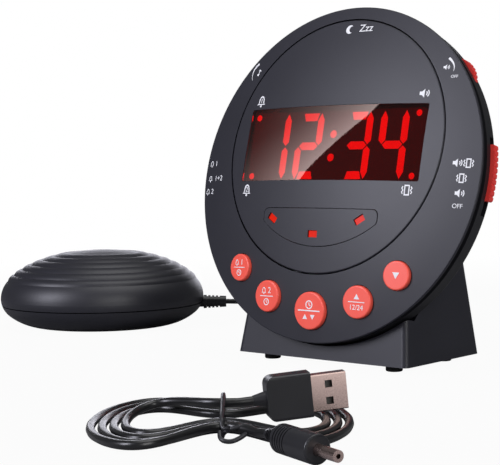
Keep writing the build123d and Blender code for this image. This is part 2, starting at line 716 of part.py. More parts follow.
def alert_leds():
    """Round LEDs that stand on the board behind the alert lights."""
    leds = []
    for place in light_places():
        x, y = place.position.X, place.position.Y
        top = dome_z(math.hypot(x, y), WALL) - LED_CLEAR
        bulb = rod(LED_RADIUS, -BOARD_DEPTH, top - LED_RADIUS)
        bulb += Pos(0, 0, top - LED_RADIUS) * Sphere(LED_RADIUS)
        bulb += rod(LED_BASE_RADIUS, -BOARD_DEPTH, -BOARD_DEPTH + LED_BASE_HEIGHT)
        leds.append(Pos(x, y) * bulb)
    return leds


def cell_holder():
    half = (-HOLDER_SIZE / 2, HOLDER_SIZE / 2)
    holder = box_between(half, half, (-BOARD_REAR - HOLDER_HEIGHT, -BOARD_REAR))
    holder -= rod(CELL_RADIUS + CELL_FIT, -BOARD_REAR - 2 * HOLDER_HEIGHT, -BOARD_REAR - HOLDER_FLOOR)
    return Pos(HOLDER_ASIDE, HOLDER_RISE) * holder


def backup_cell():
    top = -BOARD_REAR - HOLDER_FLOOR
    cell = round_edges(rod(CELL_RADIUS, top - CELL_THICK, top), CELL_THICK / 8, CELL_RADIUS, top - CELL_THICK)
    return Pos(HOLDER_ASIDE, HOLDER_RISE) * cell


def pot(angle):
    """Control under a thumbwheel: a round base on the board and the post that the wheel turns on."""
    at = polar(WHEEL_RING, angle)
    base = rod(POT_RADIUS, -BOARD_DEPTH, -SLOT_BACK + WHEEL_AIR - SLOT_FIT, at)
    return base + rod(POST_RADIUS, -BOARD_DEPTH, -SLOT_FRONT - SLOT_FIT, at)


def thumbwheel(angle):
    wheel = rod(WHEEL_RADIUS, -SLOT_BACK + WHEEL_AIR, -SLOT_FRONT - WHEEL_FIT)
    notch = rod(WHEEL_NOTCH_RADIUS, -SLOT_BACK, -SLOT_FRONT)
    wheel -= [place * notch for place in PolarLocations(WHEEL_RADIUS, WHEEL_NOTCHES)]
    wheel -= rod(POST_RADIUS + POST_FIT, -SLOT_BACK, -SLOT_FRONT)
    return Pos(*polar(WHEEL_RING, angle)) * wheel


def slider(angle):
    """Ribbed thumb slider that rides along an arc in the housing's band, with a tongue to its switch."""
    half = SLIDER_SPAN / 2
    outer = BAND_RADIUS + SLIDER_PROUD
    bottom, top = -SLOT_BACK + SLOT_FIT, -SLOT_FRONT - SLOT_FIT
    knob = sector(BAND_RADIUS - SLIDER_DEPTH, outer, bottom, top, angle - half, angle + half)
    ends = [e for e in knob.edges().filter_by(Axis.Z) if math.hypot(e.center().X, e.center().Y) > BAND_RADIUS]
    knob = fillet(ends, SLIDER_ROUND)
    step = SLIDER_SPAN / SLIDER_RIBS
    for rib in range(1, SLIDER_RIBS):
        groove = Rot(0, 0, 45) * Box(SLIDER_RIB_CUT, SLIDER_RIB_CUT, SLOT_WIDTH)
        knob -= Rot(0, 0, angle - half + rib * step) * Pos(outer, 0, (bottom + top) / 2) * groove
    middle = (bottom + top) / 2
    knob += sector(SLIDE_SWITCH_AT + SLIDE_SWITCH_WIDTH / 2 - TONGUE_REACH / 2, BAND_RADIUS - SLIDER_DEPTH / 2,
                   middle - TONGUE_THICK / 2, middle + TONGUE_THICK / 2,
                   angle - TONGUE_SPAN / 2, angle + TONGUE_SPAN / 2)
    return knob


def slide_switch(angle, travel):
    """Switch body on the board, with a slot that the slider's tongue moves in."""
    half_w, half_l = SLIDE_SWITCH_WIDTH / 2, SLIDE_SWITCH_LENGTH / 2
    body = box_between((SLIDE_SWITCH_AT - half_w, SLIDE_SWITCH_AT + half_w), (-half_l, half_l),
                       (-BOARD_DEPTH, -SLIDE_SWITCH_TOP))
    body = Rot(0, 0, angle) * body
    middle = -(SLOT_FRONT + SLOT_BACK) / 2
    high = TONGUE_THICK / 2 + TONGUE_FIT
    inner = SLIDE_SWITCH_AT + half_w - TONGUE_REACH / 2 - TONGUE_FIT
    reach = TONGUE_SPAN / 2 + SLIDER_END_GAP
    slot = sector(inner, FACE_RADIUS, middle - high, middle + high, angle + travel[0] - reach,
                  angle + travel[1] + reach)
    return body - slot


# Rear housing and loudspeaker

def housing_line():
    """Direction along the housing's cone and its inward normal, in the radius and height plane."""
    along = Vector(BACK_RADIUS - BAND_END_RADIUS, BAND_END - BACK_DEPTH).normalized()
    return along, Vector(along.Y, -along.X)


def housing_inner_points():
    """Inner corners of the housing, one wall inside its outer corners."""
    along, inward = housing_line()
    start = Vector(BAND_END_RADIUS, -BAND_END) + inward * WALL
    band = BAND_END_RADIUS - WALL
    back = -BACK_DEPTH + WALL
    corner = start + along * ((band - start.X) / along.X)
    end = start + along * ((back - start.Y) / along.Y)
    return corner, end


def band_inner_radius(depth):
    """Inside radius of the housing's cone at a depth behind the face."""
    corner, end = housing_inner_points()
    share = (-depth - corner.Y) / (end.Y - corner.Y)
    return corner.X + share * (end.X - corner.X)


def drum_envelope(extra):
    """Outside of the whole drum with its groove filled, grown by a clearance."""
    along, inward = housing_line()
    start = Vector(FACE_RADIUS, -BAND_END) - inward * extra
    end = Vector(BACK_RADIUS, -BACK_DEPTH) - inward * extra
    rim = FACE_RADIUS + extra
    points = [(0, extra), (rim, extra), (rim, start.Y), (end.X, end.Y), (end.X - extra, -BACK_DEPTH - extra),
              (0, -BACK_DEPTH - extra)]
    return turned(points)


def rear_housing():
    """Bowl behind the face, with slots, screw columns, a grille and two posts down to the base plate."""
    corner, end = housing_inner_points()
    points = [
        (BAND_RADIUS, -SEAM_DEPTH), (BAND_END_RADIUS, -BAND_END), (BACK_RADIUS, -BACK_DEPTH), (0, -BACK_DEPTH),
        (0, -BACK_DEPTH + WALL), (end.X, end.Y), (corner.X, corner.Y), (GROOVE_RADIUS + SEAM_FIT, -SEAM_DEPTH),
    ]
    housing = turned(points)
    housing = round_edges(housing, BAND_ROUND, BAND_END_RADIUS, -BAND_END)
    housing = round_edges(housing, BACK_ROUND, BACK_RADIUS, -BACK_DEPTH)
    outside = turned([(0, 0), (BAND_RADIUS, 0)] + points[1:4])
    for angle in BOSS_ANGLES:
        at = polar(BOSS_RING, angle)
        seat = -BOARD_REAR - HEAD_SEAT_BELOW
        housing += rod(BOSS_RADIUS, -BACK_DEPTH, -BOARD_REAR, at) & outside
        housing -= rod(SCREW_RADIUS + SCREW_HOLE_FIT, -BACK_DEPTH, -BOARD_REAR, at)
        housing -= rod(SCREW_HEAD_RADIUS + SCREW_HOLE_FIT, -BACK_DEPTH, seat, at)
    for angle in (WHEEL_ANGLE, 180 - WHEEL_ANGLE):
        housing -= rod(WHEEL_RADIUS + WHEEL_AIR, -SLOT_BACK, -SLOT_FRONT, polar(WHEEL_RING, angle))
    for angle, travel in ((MODE_ANGLE, MODE_TRAVEL), (SELECT_ANGLE, SELECT_TRAVEL)):
        reach = SLIDER_SPAN / 2 + SLIDER_END_GAP
        housing -= sector(SLIDE_SWITCH_AT, FACE_RADIUS + SLIDER_PROUD, -SLOT_BACK, -SLOT_FRONT,
                          angle + travel[0] - reach, angle + travel[1] + reach)
    housing -= grille_holes()
    housing = DRUM * housing
    skin = DRUM * turned([(0, 0), (corner.X + WALL / 2, 0), (corner.X + WALL / 2, corner.Y),
                          (end.X + WALL / 2, end.Y), (0, end.Y - WALL / 2)])
    for side in (-1, 1):
        at = (side * POST_ASIDE, POST_BACK)
        post = rod(HOUSING_POST_RADIUS, FOOT_HEIGHT + BASE_THICK, FACE_HEIGHT, at)
        housing += lowest(post - skin)
        deep = SCREW_LENGTH - BASE_THICK + SCREW_HEAD_HEIGHT + SCREW_END_GAP
        housing -= rod(SCREW_RADIUS + SCREW_FIT, FOOT_HEIGHT, FOOT_HEIGHT + BASE_THICK + deep, at)
    return housing


def lowest(shape):
    """The lowest solid of a shape that a cut left in pieces."""
    return min(shape.solids(), key=lambda s: s.center().Z)


def grille_holes():
    """Rings of round holes through the back, in front of the loudspeaker."""
    holes = []
    hole = rod(GRILLE_HOLE_RADIUS, -BACK_DEPTH - WALL, -BACK_DEPTH + 2 * WALL)
    for ring in range(GRILLE_RINGS):
        count = max(1, 6 * ring)
        places = PolarLocations(ring * GRILLE_PITCH, count)
        holes += [Pos(0, SPEAKER_RISE) * place * hole for place in places]
    return holes


def speaker_levels():
    """Heights of the speaker: its rim on the back wall, the basket's end and the magnet's end."""
    seat = -BACK_DEPTH + WALL
    neck = seat + BASKET_DEPTH
    return seat, neck, neck + MAGNET_THICK


def speaker_frame():
    """Rim against the back wall and a basket that narrows to the magnet."""
    seat, neck, _ = speaker_levels()
    inner = SPEAKER_RADIUS - SPEAKER_RIM_WIDTH
    frame = turned([
        (SPEAKER_RADIUS, seat), (SPEAKER_RADIUS, seat + SPEAKER_RIM), (inner + BASKET_WALL, seat + SPEAKER_RIM),
        (MAGNET_RADIUS, neck), (COIL_RADIUS + COIL_GAP, neck), (COIL_RADIUS + COIL_GAP, neck - BASKET_WALL),
        (MAGNET_RADIUS - BASKET_WALL, neck - BASKET_WALL), (inner, seat + SPEAKER_RIM), (inner, seat),
    ])
    return Pos(0, SPEAKER_RISE) * frame


def speaker_magnet():
    """Magnet with the ring gap that the voice coil moves in."""
    _, neck, end = speaker_levels()
    magnet = rod(MAGNET_RADIUS, neck, end)
    gap = rod(COIL_RADIUS + COIL_GAP, neck, neck + COIL_LENGTH) - rod(
        COIL_RADIUS - COIL_WALL - COIL_GAP, neck, neck + COIL_LENGTH)
    return Pos(0, SPEAKER_RISE) * (magnet - gap)


def speaker_cone():
    """Paper cone with a dust cap and a voice coil in the magnet's gap."""
    seat, neck, _ = speaker_levels()
    front = seat + CONE_CLEAR
    throat = neck - BASKET_WALL - CONE_CLEAR
    inner = COIL_RADIUS - COIL_WALL
    cone = turned([
        (CONE_RADIUS, front), (CONE_RADIUS, front + CONE_WALL), (COIL_RADIUS, throat + CONE_WALL),
        (COIL_RADIUS, neck + COIL_LENGTH / 2), (inner, neck + COIL_LENGTH / 2), (inner, throat), (0, throat),
        (0, throat - CONE_WALL), (COIL_RADIUS, throat - CONE_WALL),
    ])
    return Pos(0, SPEAKER_RISE) * cone


# Stand

def stand_block(inset, bottom, top):
    """Leaning wedge between two heights, its walls moved in by the inset."""
    def layer(height):
        rise = height - FOOT_HEIGHT
        half = STAND_WIDTH / 2 - STAND_SIDE_TAPER * rise - inset
        front = -STAND_DEPTH / 2 + STAND_FRONT_LEAN * rise + inset
        rear = STAND_DEPTH / 2 - STAND_REAR_LEAN * rise - inset
        corner = max(STAND_CORNER - inset, STAND_CORNER / 5)
        return Pos(0, (front + rear) / 2, height) * RectangleRounded(2 * half, rear - front, corner)

    return loft([layer(bottom), layer(top)], ruled=True)


def stand():
    """Hollow wedge, cut to the drum that sits in it, with screw bosses on its sides."""
    shell = stand_block(0, FOOT_HEIGHT, STAND_TOP)
    shell -= stand_block(STAND_WALL, FOOT_HEIGHT - STAND_WALL, STAND_TOP - STAND_WALL)
    bottom = FOOT_HEIGHT + BASE_THICK
    for side in (-1, 1):
        for y in STAND_BOSS_AT:
            at = (side * (STAND_WIDTH / 2 - STAND_BOSS_INSET), y)
            shell += rod(STAND_BOSS_RADIUS, bottom, bottom + STAND_BOSS_HEIGHT, at) & stand_block(
                STAND_WALL / 2, FOOT_HEIGHT, STAND_TOP)
            deep = SCREW_LENGTH - BASE_THICK + SCREW_HEAD_HEIGHT + SCREW_END_GAP
            shell -= rod(SCREW_RADIUS + SCREW_FIT, FOOT_HEIGHT, bottom + deep, at)
    shell -= DRUM * drum_envelope(DRUM_FIT)
    for aside in (POWER_JACK_ASIDE, SHAKER_JACK_ASIDE):
        hole = extrude(Circle(JACK_NOSE_RADIUS + JACK_HOLE_FIT), amount=2 * STAND_WALL, both=True)
        shell -= jack_plane(aside) * hole
    return shell


def base_screw_places():
    """Screw places under the base plate: into the stand's bosses and the housing's posts."""
    places = [(side * (STAND_WIDTH / 2 - STAND_BOSS_INSET), y) for side in (-1, 1) for y in STAND_BOSS_AT]
    return places + [(side * POST_ASIDE, POST_BACK) for side in (-1, 1)]


def base_plate():
    plate = stand_block(STAND_WALL + BASE_FIT, FOOT_HEIGHT, FOOT_HEIGHT + BASE_THICK)
    for at in base_screw_places():
        plate -= rod(SCREW_RADIUS + SCREW_HOLE_FIT, FOOT_HEIGHT, FOOT_HEIGHT + BASE_THICK, at)
        plate -= rod(SCREW_HEAD_RADIUS + SCREW_HOLE_FIT, FOOT_HEIGHT, FOOT_HEIGHT + SCREW_HEAD_HEIGHT, at)
    return plate


def rubber_feet():
    foot = round_edges(rod(FOOT_RADIUS, 0, FOOT_HEIGHT), FOOT_HEIGHT / 5, FOOT_RADIUS, 0)
    x = STAND_WIDTH / 2 - FOOT_INSET_X
    y = STAND_DEPTH / 2 - FOOT_INSET_Y
    return [Pos(sx * x, sy * y) * foot for sx in (-1, 1) for sy in (-1, 1)]


def clock_screws():
    """Screws through the housing into the face, and through the base plate into the stand and posts."""
    seat = -BOARD_REAR - HEAD_SEAT_BELOW
    screws = [DRUM * Pos(*polar(BOSS_RING, angle), seat) * Rot(180, 0, 0) * screw() for angle in BOSS_ANGLES]
    height = FOOT_HEIGHT + SCREW_HEAD_HEIGHT
    screws += [Pos(x, y, height) * Rot(180, 0, 0) * screw() for x, y in base_screw_places()]
    return screws


def jack_plane(aside):
    """Plane on the outside of the stand's rear wall, looking out of it."""
    return Plane(origin=(aside, REAR_WALL_AT, JACK_HEIGHT), x_dir=(1, 0, 0), z_dir=(0, 1, STAND_REAR_LEAN))


def wall_inside():
    """Thickness of the leaning rear wall, square to it."""
    return STAND_WALL / math.hypot(1, STAND_REAR_LEAN)


def jack(aside):
    """Socket body against the inside of the wall, with a round nose through it and a bore."""
    inside = -wall_inside()
    half = (-JACK_BODY / 2, JACK_BODY / 2)
    body = box_between(half, half, (inside - JACK_BODY_DEPTH, inside))
    body += rod(JACK_NOSE_RADIUS, inside, JACK_NOSE_PROUD)
    body -= rod(JACK_BORE_RADIUS, JACK_NOSE_PROUD - JACK_BORE_DEPTH, JACK_NOSE_PROUD)
    return jack_plane(aside) * body


def power_jack():
    pin = rod(JACK_PIN_RADIUS, JACK_NOSE_PROUD - JACK_BORE_DEPTH, JACK_NOSE_PROUD - JACK_PIN_SUNK)
    return jack(POWER_JACK_ASIDE) + jack_plane(POWER_JACK_ASIDE) * pin


def jack_nuts():
    nut = extrude(RegularPolygon(NUT_FLATS / 2, 6, major_radius=False), amount=NUT_THICK)
    nut -= rod(JACK_NOSE_RADIUS + JACK_HOLE_FIT, 0, NUT_THICK)
    return [jack_plane(aside) * nut for aside in (POWER_JACK_ASIDE, SHAKER_JACK_ASIDE)]


# Shaker, about its own upright axis, the cord leaving along +X

def dome_point(turn, grown=0.0):
    """Point on the shaker's elliptic top, the turn in degrees up from its waist."""
    angle = math.radians(turn)
    rise = SHAKER_HEIGHT - SHAKER_WAIST
    return (SHAKER_RADIUS + grown) * math.cos(angle), SHAKER_WAIST + (rise + grown) * math.sin(angle)


def side_point(height, inset=0.0):
    """Point on the shaker's rounded side below its waist, or as far inside it as asked."""
    across = math.sqrt((SHAKER_SIDE_ROUND - inset) ** 2 - (SHAKER_WAIST - height) ** 2)
    return SHAKER_RADIUS - SHAKER_SIDE_ROUND + across, height


def side_to_floor(inset):
    """Two arcs from the seam round the side to the flat underside, or as far inside them as asked."""
    wide = SHAKER_RADIUS - SHAKER_FLAT - SHAKER_SIDE_ROUND
    deep = SHAKER_WAIST - SHAKER_SIDE_ROUND
    apart = (wide**2 + deep**2) / (2 * deep)
    sole = SHAKER_SIDE_ROUND + apart
    meet = math.acos(wide / apart)
    first = math.asin((SHAKER_WAIST - SHAKER_SEAM) / (SHAKER_SIDE_ROUND - inset))

    def on_side(turn):
        reach = SHAKER_SIDE_ROUND - inset
        return SHAKER_RADIUS - SHAKER_SIDE_ROUND + reach * math.cos(turn), SHAKER_WAIST - reach * math.sin(turn)

    def on_sole(turn):
        return SHAKER_FLAT + (sole - inset) * math.cos(turn), sole - (sole - inset) * math.sin(turn)

    return [ThreePointArc(on_side(first), on_side((first + meet) / 2), on_side(meet)),
            ThreePointArc(on_sole(meet), on_sole((meet + math.pi / 2) / 2), on_sole(math.pi / 2))]


def cap_arc(shoulder, top):
    """Arc from a shoulder point to a top on the axis, round about the axis."""
    wide, drop = shoulder[0], top - shoulder[1]
    radius = (wide**2 + drop**2) / (2 * drop)
    middle = top - radius + math.sqrt(radius**2 - (wide / 2) ** 2)
    return ThreePointArc(shoulder, (wide / 2, middle), (0, top))


def shaker_top():
    """Ridged dome, hollow inside, with three screw bosses."""
    step = (RIDGE_TO - RIDGE_FROM) / SHAKER_RIDGES
    start = side_point(SHAKER_SEAM + SEAM_LINE)
    edge = Curve() + [Line((0, SHAKER_SEAM + SEAM_LINE), start)]
    edge += ThreePointArc(start, side_point((start[1] + SHAKER_WAIST) / 2), dome_point(0))
    edge += ThreePointArc(dome_point(0), dome_point(RIDGE_FROM / 2), dome_point(RIDGE_FROM))
    for ridge in range(SHAKER_RIDGES):
        low = RIDGE_FROM + ridge * step
        edge += ThreePointArc(dome_point(low), dome_point(low + step / 2, RIDGE_BULGE), dome_point(low + step))
    edge += cap_arc(dome_point(RIDGE_TO), SHAKER_HEIGHT)
    edge += Line((0, SHAKER_HEIGHT), (0, SHAKER_SEAM + SEAM_LINE))
    shell = revolve(Plane.XZ * make_face(edge), Axis.Z)
    shell -= shaker_hollow()
    for angle in SHAKER_SCREW_ANGLES:
        at = polar(SHAKER_SCREW_RING, angle)
        boss = rod(SHAKER_BOSS_RADIUS, SHAKER_SEAM + SEAM_LINE, SHAKER_HEIGHT, at)
        shell += boss & shaker_hollow(SHAKER_WALL / 2)
        top = shaker_screw_seat() + SCREW_LENGTH + SCREW_END_GAP
        shell -= rod(SCREW_RADIUS + SCREW_FIT, SHAKER_SEAM, top, at)
    return shell - relief_hole()


def shaker_hollow(grown=0.0):
    """Inside of the shaker's top, grown into the wall if asked."""
    inset = grown - SHAKER_WALL
    edge, shoulder = dome_point(0, inset), dome_point(HOLLOW_SHOULDER, inset)
    top = dome_point(90, inset)[1]
    outline = Curve() + [
        ThreePointArc(edge, dome_point(HOLLOW_SHOULDER / 2, inset), shoulder),
        cap_arc(shoulder, top),
        Polyline((0, top), (0, SHAKER_SEAM), (edge[0], SHAKER_SEAM), edge),
    ]
    return revolve(Plane.XZ * make_face(outline), Axis.Z)


def shaker_screw_seat():
    """Height of the shaker screws' heads in the base."""
    return SHAKER_WALL + SCREW_HEAD_HEIGHT


def shaker_base():
    """Rounded dish with a flat underside, screw pillars and a groove at the seam."""
    outside, inside = side_to_floor(0), side_to_floor(SHAKER_WALL)
    rest = Polyline((SHAKER_FLAT, 0), (0, 0), (0, SHAKER_SEAM), side_point(SHAKER_SEAM))
    outer = revolve(Plane.XZ * make_face(Curve() + outside + [rest]), Axis.Z)
    lip = Line(side_point(SHAKER_SEAM), side_point(SHAKER_SEAM, SHAKER_WALL))
    floor = Polyline((SHAKER_FLAT, 0), (0, 0), (0, SHAKER_WALL), (SHAKER_FLAT, SHAKER_WALL))
    dish = revolve(Plane.XZ * make_face(Curve() + outside + inside + [lip, floor]), Axis.Z)
    for angle in SHAKER_SCREW_ANGLES:
        at = polar(SHAKER_SCREW_RING, angle)
        dish += rod(SHAKER_BOSS_RADIUS + SCREW_HOLE_FIT, 0, SHAKER_SEAM + SEAM_LINE, at) & outer
        dish += rod(SHAKER_BOSS_RADIUS, SHAKER_SEAM - SEAM_LINE, SHAKER_SEAM + SEAM_LINE, at)
        dish -= rod(SCREW_RADIUS + SCREW_HOLE_FIT, 0, SHAKER_SEAM + SEAM_LINE, at)
        dish -= rod(SCREW_HEAD_RADIUS + SCREW_HOLE_FIT, 0, shaker_screw_seat(), at)
    return dish - relief_hole()


def relief_hole():
    """Hole through the shaker's side for the neck of the strain relief."""
    hole = Cylinder(RELIEF_NECK_RADIUS + RELIEF_FIT, SHAKER_RADIUS)
    return Pos(SHAKER_RADIUS, 0, SHAKER_SEAM) * Rot(0, 90, 0) * hole


def shaker_motor():
    """Motor can with a short nose round its shaft hole, lying along X."""
    can = rod(MOTOR_RADIUS, 0, MOTOR_LENGTH) + rod(MOTOR_NOSE_RADIUS, MOTOR_LENGTH, MOTOR_LENGTH + MOTOR_NOSE)
    can -= rod(SHAFT_RADIUS + SHAFT_FIT, MOTOR_LENGTH - SHAFT_IN_MOTOR, MOTOR_LENGTH + MOTOR_NOSE)
    return motor_place() * can


def motor_place():
    return Pos(MOTOR_BACK, 0, MOTOR_HEIGHT) * Rot(0, 90, 0)


def eccentric_weight():
    """Half-round weight on the motor's shaft, its heavy side down."""
    start = MOTOR_LENGTH + MOTOR_NOSE + WEIGHT_GAP
    shaft = rod(SHAFT_RADIUS, MOTOR_LENGTH - SHAFT_IN_MOTOR + SHAFT_FIT, start + WEIGHT_LENGTH)
    hub = rod(WEIGHT_HUB_RADIUS, start, start + WEIGHT_LENGTH)
    half = rod(WEIGHT_RADIUS, start, start + WEIGHT_LENGTH) & box_between(
        (0, WEIGHT_RADIUS), (-WEIGHT_RADIUS, WEIGHT_RADIUS), (start, start + WEIGHT_LENGTH))
    return motor_place() * (shaft + hub + half)


def cradle_span():
    """Ends of the cradle along the motor."""
    middle = MOTOR_BACK + MOTOR_LENGTH / 2
    return middle - CRADLE_LENGTH / 2, middle + CRADLE_LENGTH / 2


def motor_bed(radius):
    middle = MOTOR_BACK + MOTOR_LENGTH / 2
    return Pos(middle, 0, MOTOR_HEIGHT) * Rot(0, 90, 0) * Cylinder(radius, 2 * MOTOR_LENGTH)


def clamp_screw_places():
    middle = sum(cradle_span()) / 2
    aside = (MOTOR_RADIUS + CRADLE_WIDTH / 2) / 2 + CLAMP_WALL / 2
    return [(middle, -aside), (middle, aside)]


def motor_cradle():
    """Block on the shaker's floor with a half-round bed for the motor."""
    half = (-CRADLE_WIDTH / 2, CRADLE_WIDTH / 2)
    block = box_between(cradle_span(), half, (SHAKER_WALL, MOTOR_HEIGHT)) - motor_bed(MOTOR_RADIUS + MOTOR_FIT)
    for at in clamp_screw_places():
        deep = SCREW_LENGTH - CLAMP_FOOT_THICK + SCREW_END_GAP
        block -= rod(SCREW_RADIUS + SCREW_FIT, MOTOR_HEIGHT - deep, MOTOR_HEIGHT, at)
    return block


def motor_clamp():
    """Strap over the motor with a foot on each side of the cradle."""
    span = cradle_span()
    arch = motor_bed(MOTOR_RADIUS + CLAMP_FIT + CLAMP_WALL) & box_between(
        span, (-CRADLE_WIDTH, CRADLE_WIDTH), (MOTOR_HEIGHT, 3 * MOTOR_HEIGHT))
    half = (-CRADLE_WIDTH / 2, CRADLE_WIDTH / 2)
    feet = box_between(span, half, (MOTOR_HEIGHT, MOTOR_HEIGHT + CLAMP_FOOT_THICK))
    strap = arch + feet - motor_bed(MOTOR_RADIUS + CLAMP_FIT)
    for at in clamp_screw_places():
        strap -= rod(SCREW_RADIUS + SCREW_HOLE_FIT, MOTOR_HEIGHT, MOTOR_HEIGHT + CLAMP_FOOT_THICK, at)
    return strap


def shaker_screws():
    seat = shaker_screw_seat()
    screws = [Pos(*polar(SHAKER_SCREW_RING, a), seat) * Rot(180, 0, 0) * screw() for a in SHAKER_SCREW_ANGLES]
    top = MOTOR_HEIGHT + CLAMP_FOOT_THICK
    return screws + [Pos(x, y, top) * screw() for x, y in clamp_screw_places()]


def ribbed_relief(root, tip, length):
    """Tapered, ribbed sleeve along Z from z 0."""
    sleeve = Pos(0, 0, length / 2) * Cone(root, tip, length)
    step = length * RELIEF_RIB_SHARE / (RELIEF_RIBS + 1)
    for rib in range(1, RELIEF_RIBS + 1):
        height = rib * step
        radius = root + (tip - root) * height / length
        groove = rod(2 * root, height - RELIEF_RIB_CUT / 2, height + RELIEF_RIB_CUT / 2)
        sleeve -= groove - rod(radius - RELIEF_RIB_DEPTH, 0, length)
    return sleeve


def shaker_relief():
    """Strain relief at the seam of the shaker: a neck through the wall and a ribbed tail."""
    start = SHAKER_RADIUS + RELIEF_FIT
    tail = ribbed_relief(RELIEF_ROOT_RADIUS, RELIEF_TIP_RADIUS, RELIEF_LENGTH)
    neck = rod(RELIEF_NECK_RADIUS, -RELIEF_NECK_LENGTH, 0)
    return Pos(start, 0, SHAKER_SEAM) * Rot(0, 90, 0) * (neck + tail)


# Cords

def biarc(start, start_way, end, end_way):
    """Two arcs that leave one point along a direction and reach another along a second direction."""
    chord = end - start
    both = start_way + end_way
    spread = 2 * (1 - start_way.dot(end_way))
    if spread < 1e-9:
        reach = chord.dot(chord) / (4 * chord.dot(end_way))
    else:
        along = chord.dot(both)
        reach = (math.sqrt(along**2 + spread * chord.dot(chord)) - along) / spread
    first = start + start_way * reach
    last = end - end_way * reach
    middle = (first + last) * 0.5
    way = (last - first).normalized()
    return [(start, start_way, middle), (middle, way, end)]


def arc_or_line(start, way, end):
    chord = end - start
    if way.cross(chord.normalized()).length < 1e-6:
        return Edge.make_line(start, end)
    return Edge.make_tangent_arc(start, way, end)


def wound_path(point_at, first, last, pieces, straight):
    """Edges of a wound cord through points of a formula, with a straight stretch at each end."""
    def way_at(turn):
        step = 1e-4
        return (point_at(turn + step) - point_at(turn - step)).normalized()

    turns = [first + (last - first) * i / pieces for i in range(pieces + 1)]
    points = [point_at(t) for t in turns]
    ways = [way_at(t) for t in turns]
    edges = [Edge.make_line(points[0] - ways[0] * straight, points[0])]
    for i in range(pieces):
        edges += [arc_or_line(*arc) for arc in biarc(points[i], ways[i], points[i + 1], ways[i + 1])]
    edges.append(Edge.make_line(points[-1], points[-1] + ways[-1] * straight))
    return edges


def cord_along(edges, diameter):
    """Round cord swept along tangent edges."""
    path = Wire(edges)
    section = Plane(origin=path @ 0, z_dir=path % 0) * Circle(diameter / 2)
    return sweep(section, path=path)


def routed(points, diameter, name):
    """Cord along straight runs with the largest tangent arc that fits at each corner."""
    corners = []
    for before, here, after in zip(points, points[1:], points[2:]):
        one, two = here - before, after - here
        half_turn = math.radians(one.get_angle(two)) / 2
        corners.append(0.45 * min(one.length, two.length) / math.tan(half_turn))
    print(name, "bend radii", [round(r, 1) for r in corners])
    path = FilletPolyline(*points, radius=corners)
    edges = path.edges()
    cord = cord_along(edges, diameter)
    length = sum(e.length for e in edges)
    share = cord.volume / (math.pi * diameter**2 / 4 * length)
    print(name, "length", round(length, 1), "volume share", round(share, 4))
    return cord


def least_gap(edges, diameter, name):
    """Print a wound cord's length and its least gap to itself, measured on points along it."""
    points, along, travelled = [], [], 0.0
    for edge in edges:
        count = max(2, int(edge.length / 2))
        points += [edge @ (i / count) for i in range(count)]
        along += [travelled + edge.length * i / count for i in range(count)]
        travelled += edge.length
    skip = 6 * diameter
    gap = min((points[i] - points[j]).length for i in range(len(points)) for j in range(i)
              if along[i] - along[j] > skip)
    print(name, "length", round(travelled, 1), "least gap to itself", round(gap - diameter, 2))


def ease(share):
    """Smooth step from 0 to 1."""
    share = min(max(share, 0.0), 1.0)
    return share * share * (3 - 2 * share)


def coil_point(turn):
    """Point of the put-away coil: it spirals in and out at a steady rate and climbs where it reverses."""
    span = COIL_TURNS + 0.5
    layer = min(int(max(turn, 0.0) / span), COIL_LAYERS - 1)
    inside = turn - layer * span
    climb = ease((inside - COIL_TURNS) / 0.5) if layer < COIL_LAYERS - 1 else 0.0
    swing = (turn + 0.25) % (2 * span)
    spiral = min(swing, 2 * span - swing) - 0.25
    radius = COIL_OUTER - spiral * COIL_PITCH
    angle = math.pi / 2 - 2 * math.pi * turn
    height = SHAKER_CORD / 2 + (layer + climb) * COIL_PITCH
    return Vector(COIL_CENTRE[0] + radius * math.cos(angle), COIL_CENTRE[1] + radius * math.sin(angle), height)


def coil_total():
    return (COIL_LAYERS - 1) * (COIL_TURNS + 0.5) + COIL_LAST_TURNS


def hank_point(turn):
    """Point of the flat hank: loops drawn in at the waist, spiralling in, both ends rising to their plugs."""
    step = HANK_TURNS - turn
    angle = -math.pi / 2 - 2 * math.pi * turn
    x = (HANK_HALF_LENGTH + step * HANK_STEP_LONG) * math.cos(angle)
    drawn = math.exp(-((x / (HANK_WAIST_REACH - HANK_WAIST_STEP * step)) ** 2))
    deep = HANK_HALF_DEPTH * (1 - drawn) + HANK_WAIST * drawn + step * HANK_STEP_DEEP
    rise = HANK_RISE * ease(1 - step / HANK_RISE_TURN)
    rise += HANK_FIRST_RISE * ease(1 - (turn - HANK_FIRST) / HANK_RISE_TURN)
    return Vector(x, deep * math.sin(angle), POWER_CORD / 2 + HANK_TIE_LIFT * drawn + rise)


def coil_edges():
    return wound_path(coil_point, 0, coil_total(), round(coil_total() * 4), SHAKER_CORD)


def hank_edges():
    return wound_path(hank_point, HANK_FIRST, HANK_TURNS, HANK_PIECES, POWER_CORD)


def shaker_cord_run():
    """From the strain relief's tip down to the table and into the coil behind the clock."""
    tip = SHAKER_RADIUS + RELIEF_FIT + RELIEF_LENGTH
    start = (SHAKER * Pos(tip, 0, SHAKER_SEAM)).position
    way = Vector(1, 0, 0).rotate(Axis.Z, SHAKER_TURN)
    lead = coil_edges()[0]
    end = lead @ 0
    first, second, third = (start + way * along for along in RUN_ALONG)
    points = [start, first, second + Vector(*RUN_ASIDE[0], -RUN_DROP),
              third + Vector(*RUN_ASIDE[1], SHAKER_CORD / 2 - SHAKER_SEAM), end - (lead % 0) * RUN_LEAD, end]
    return routed(points, SHAKER_CORD, "shaker_cord_run")


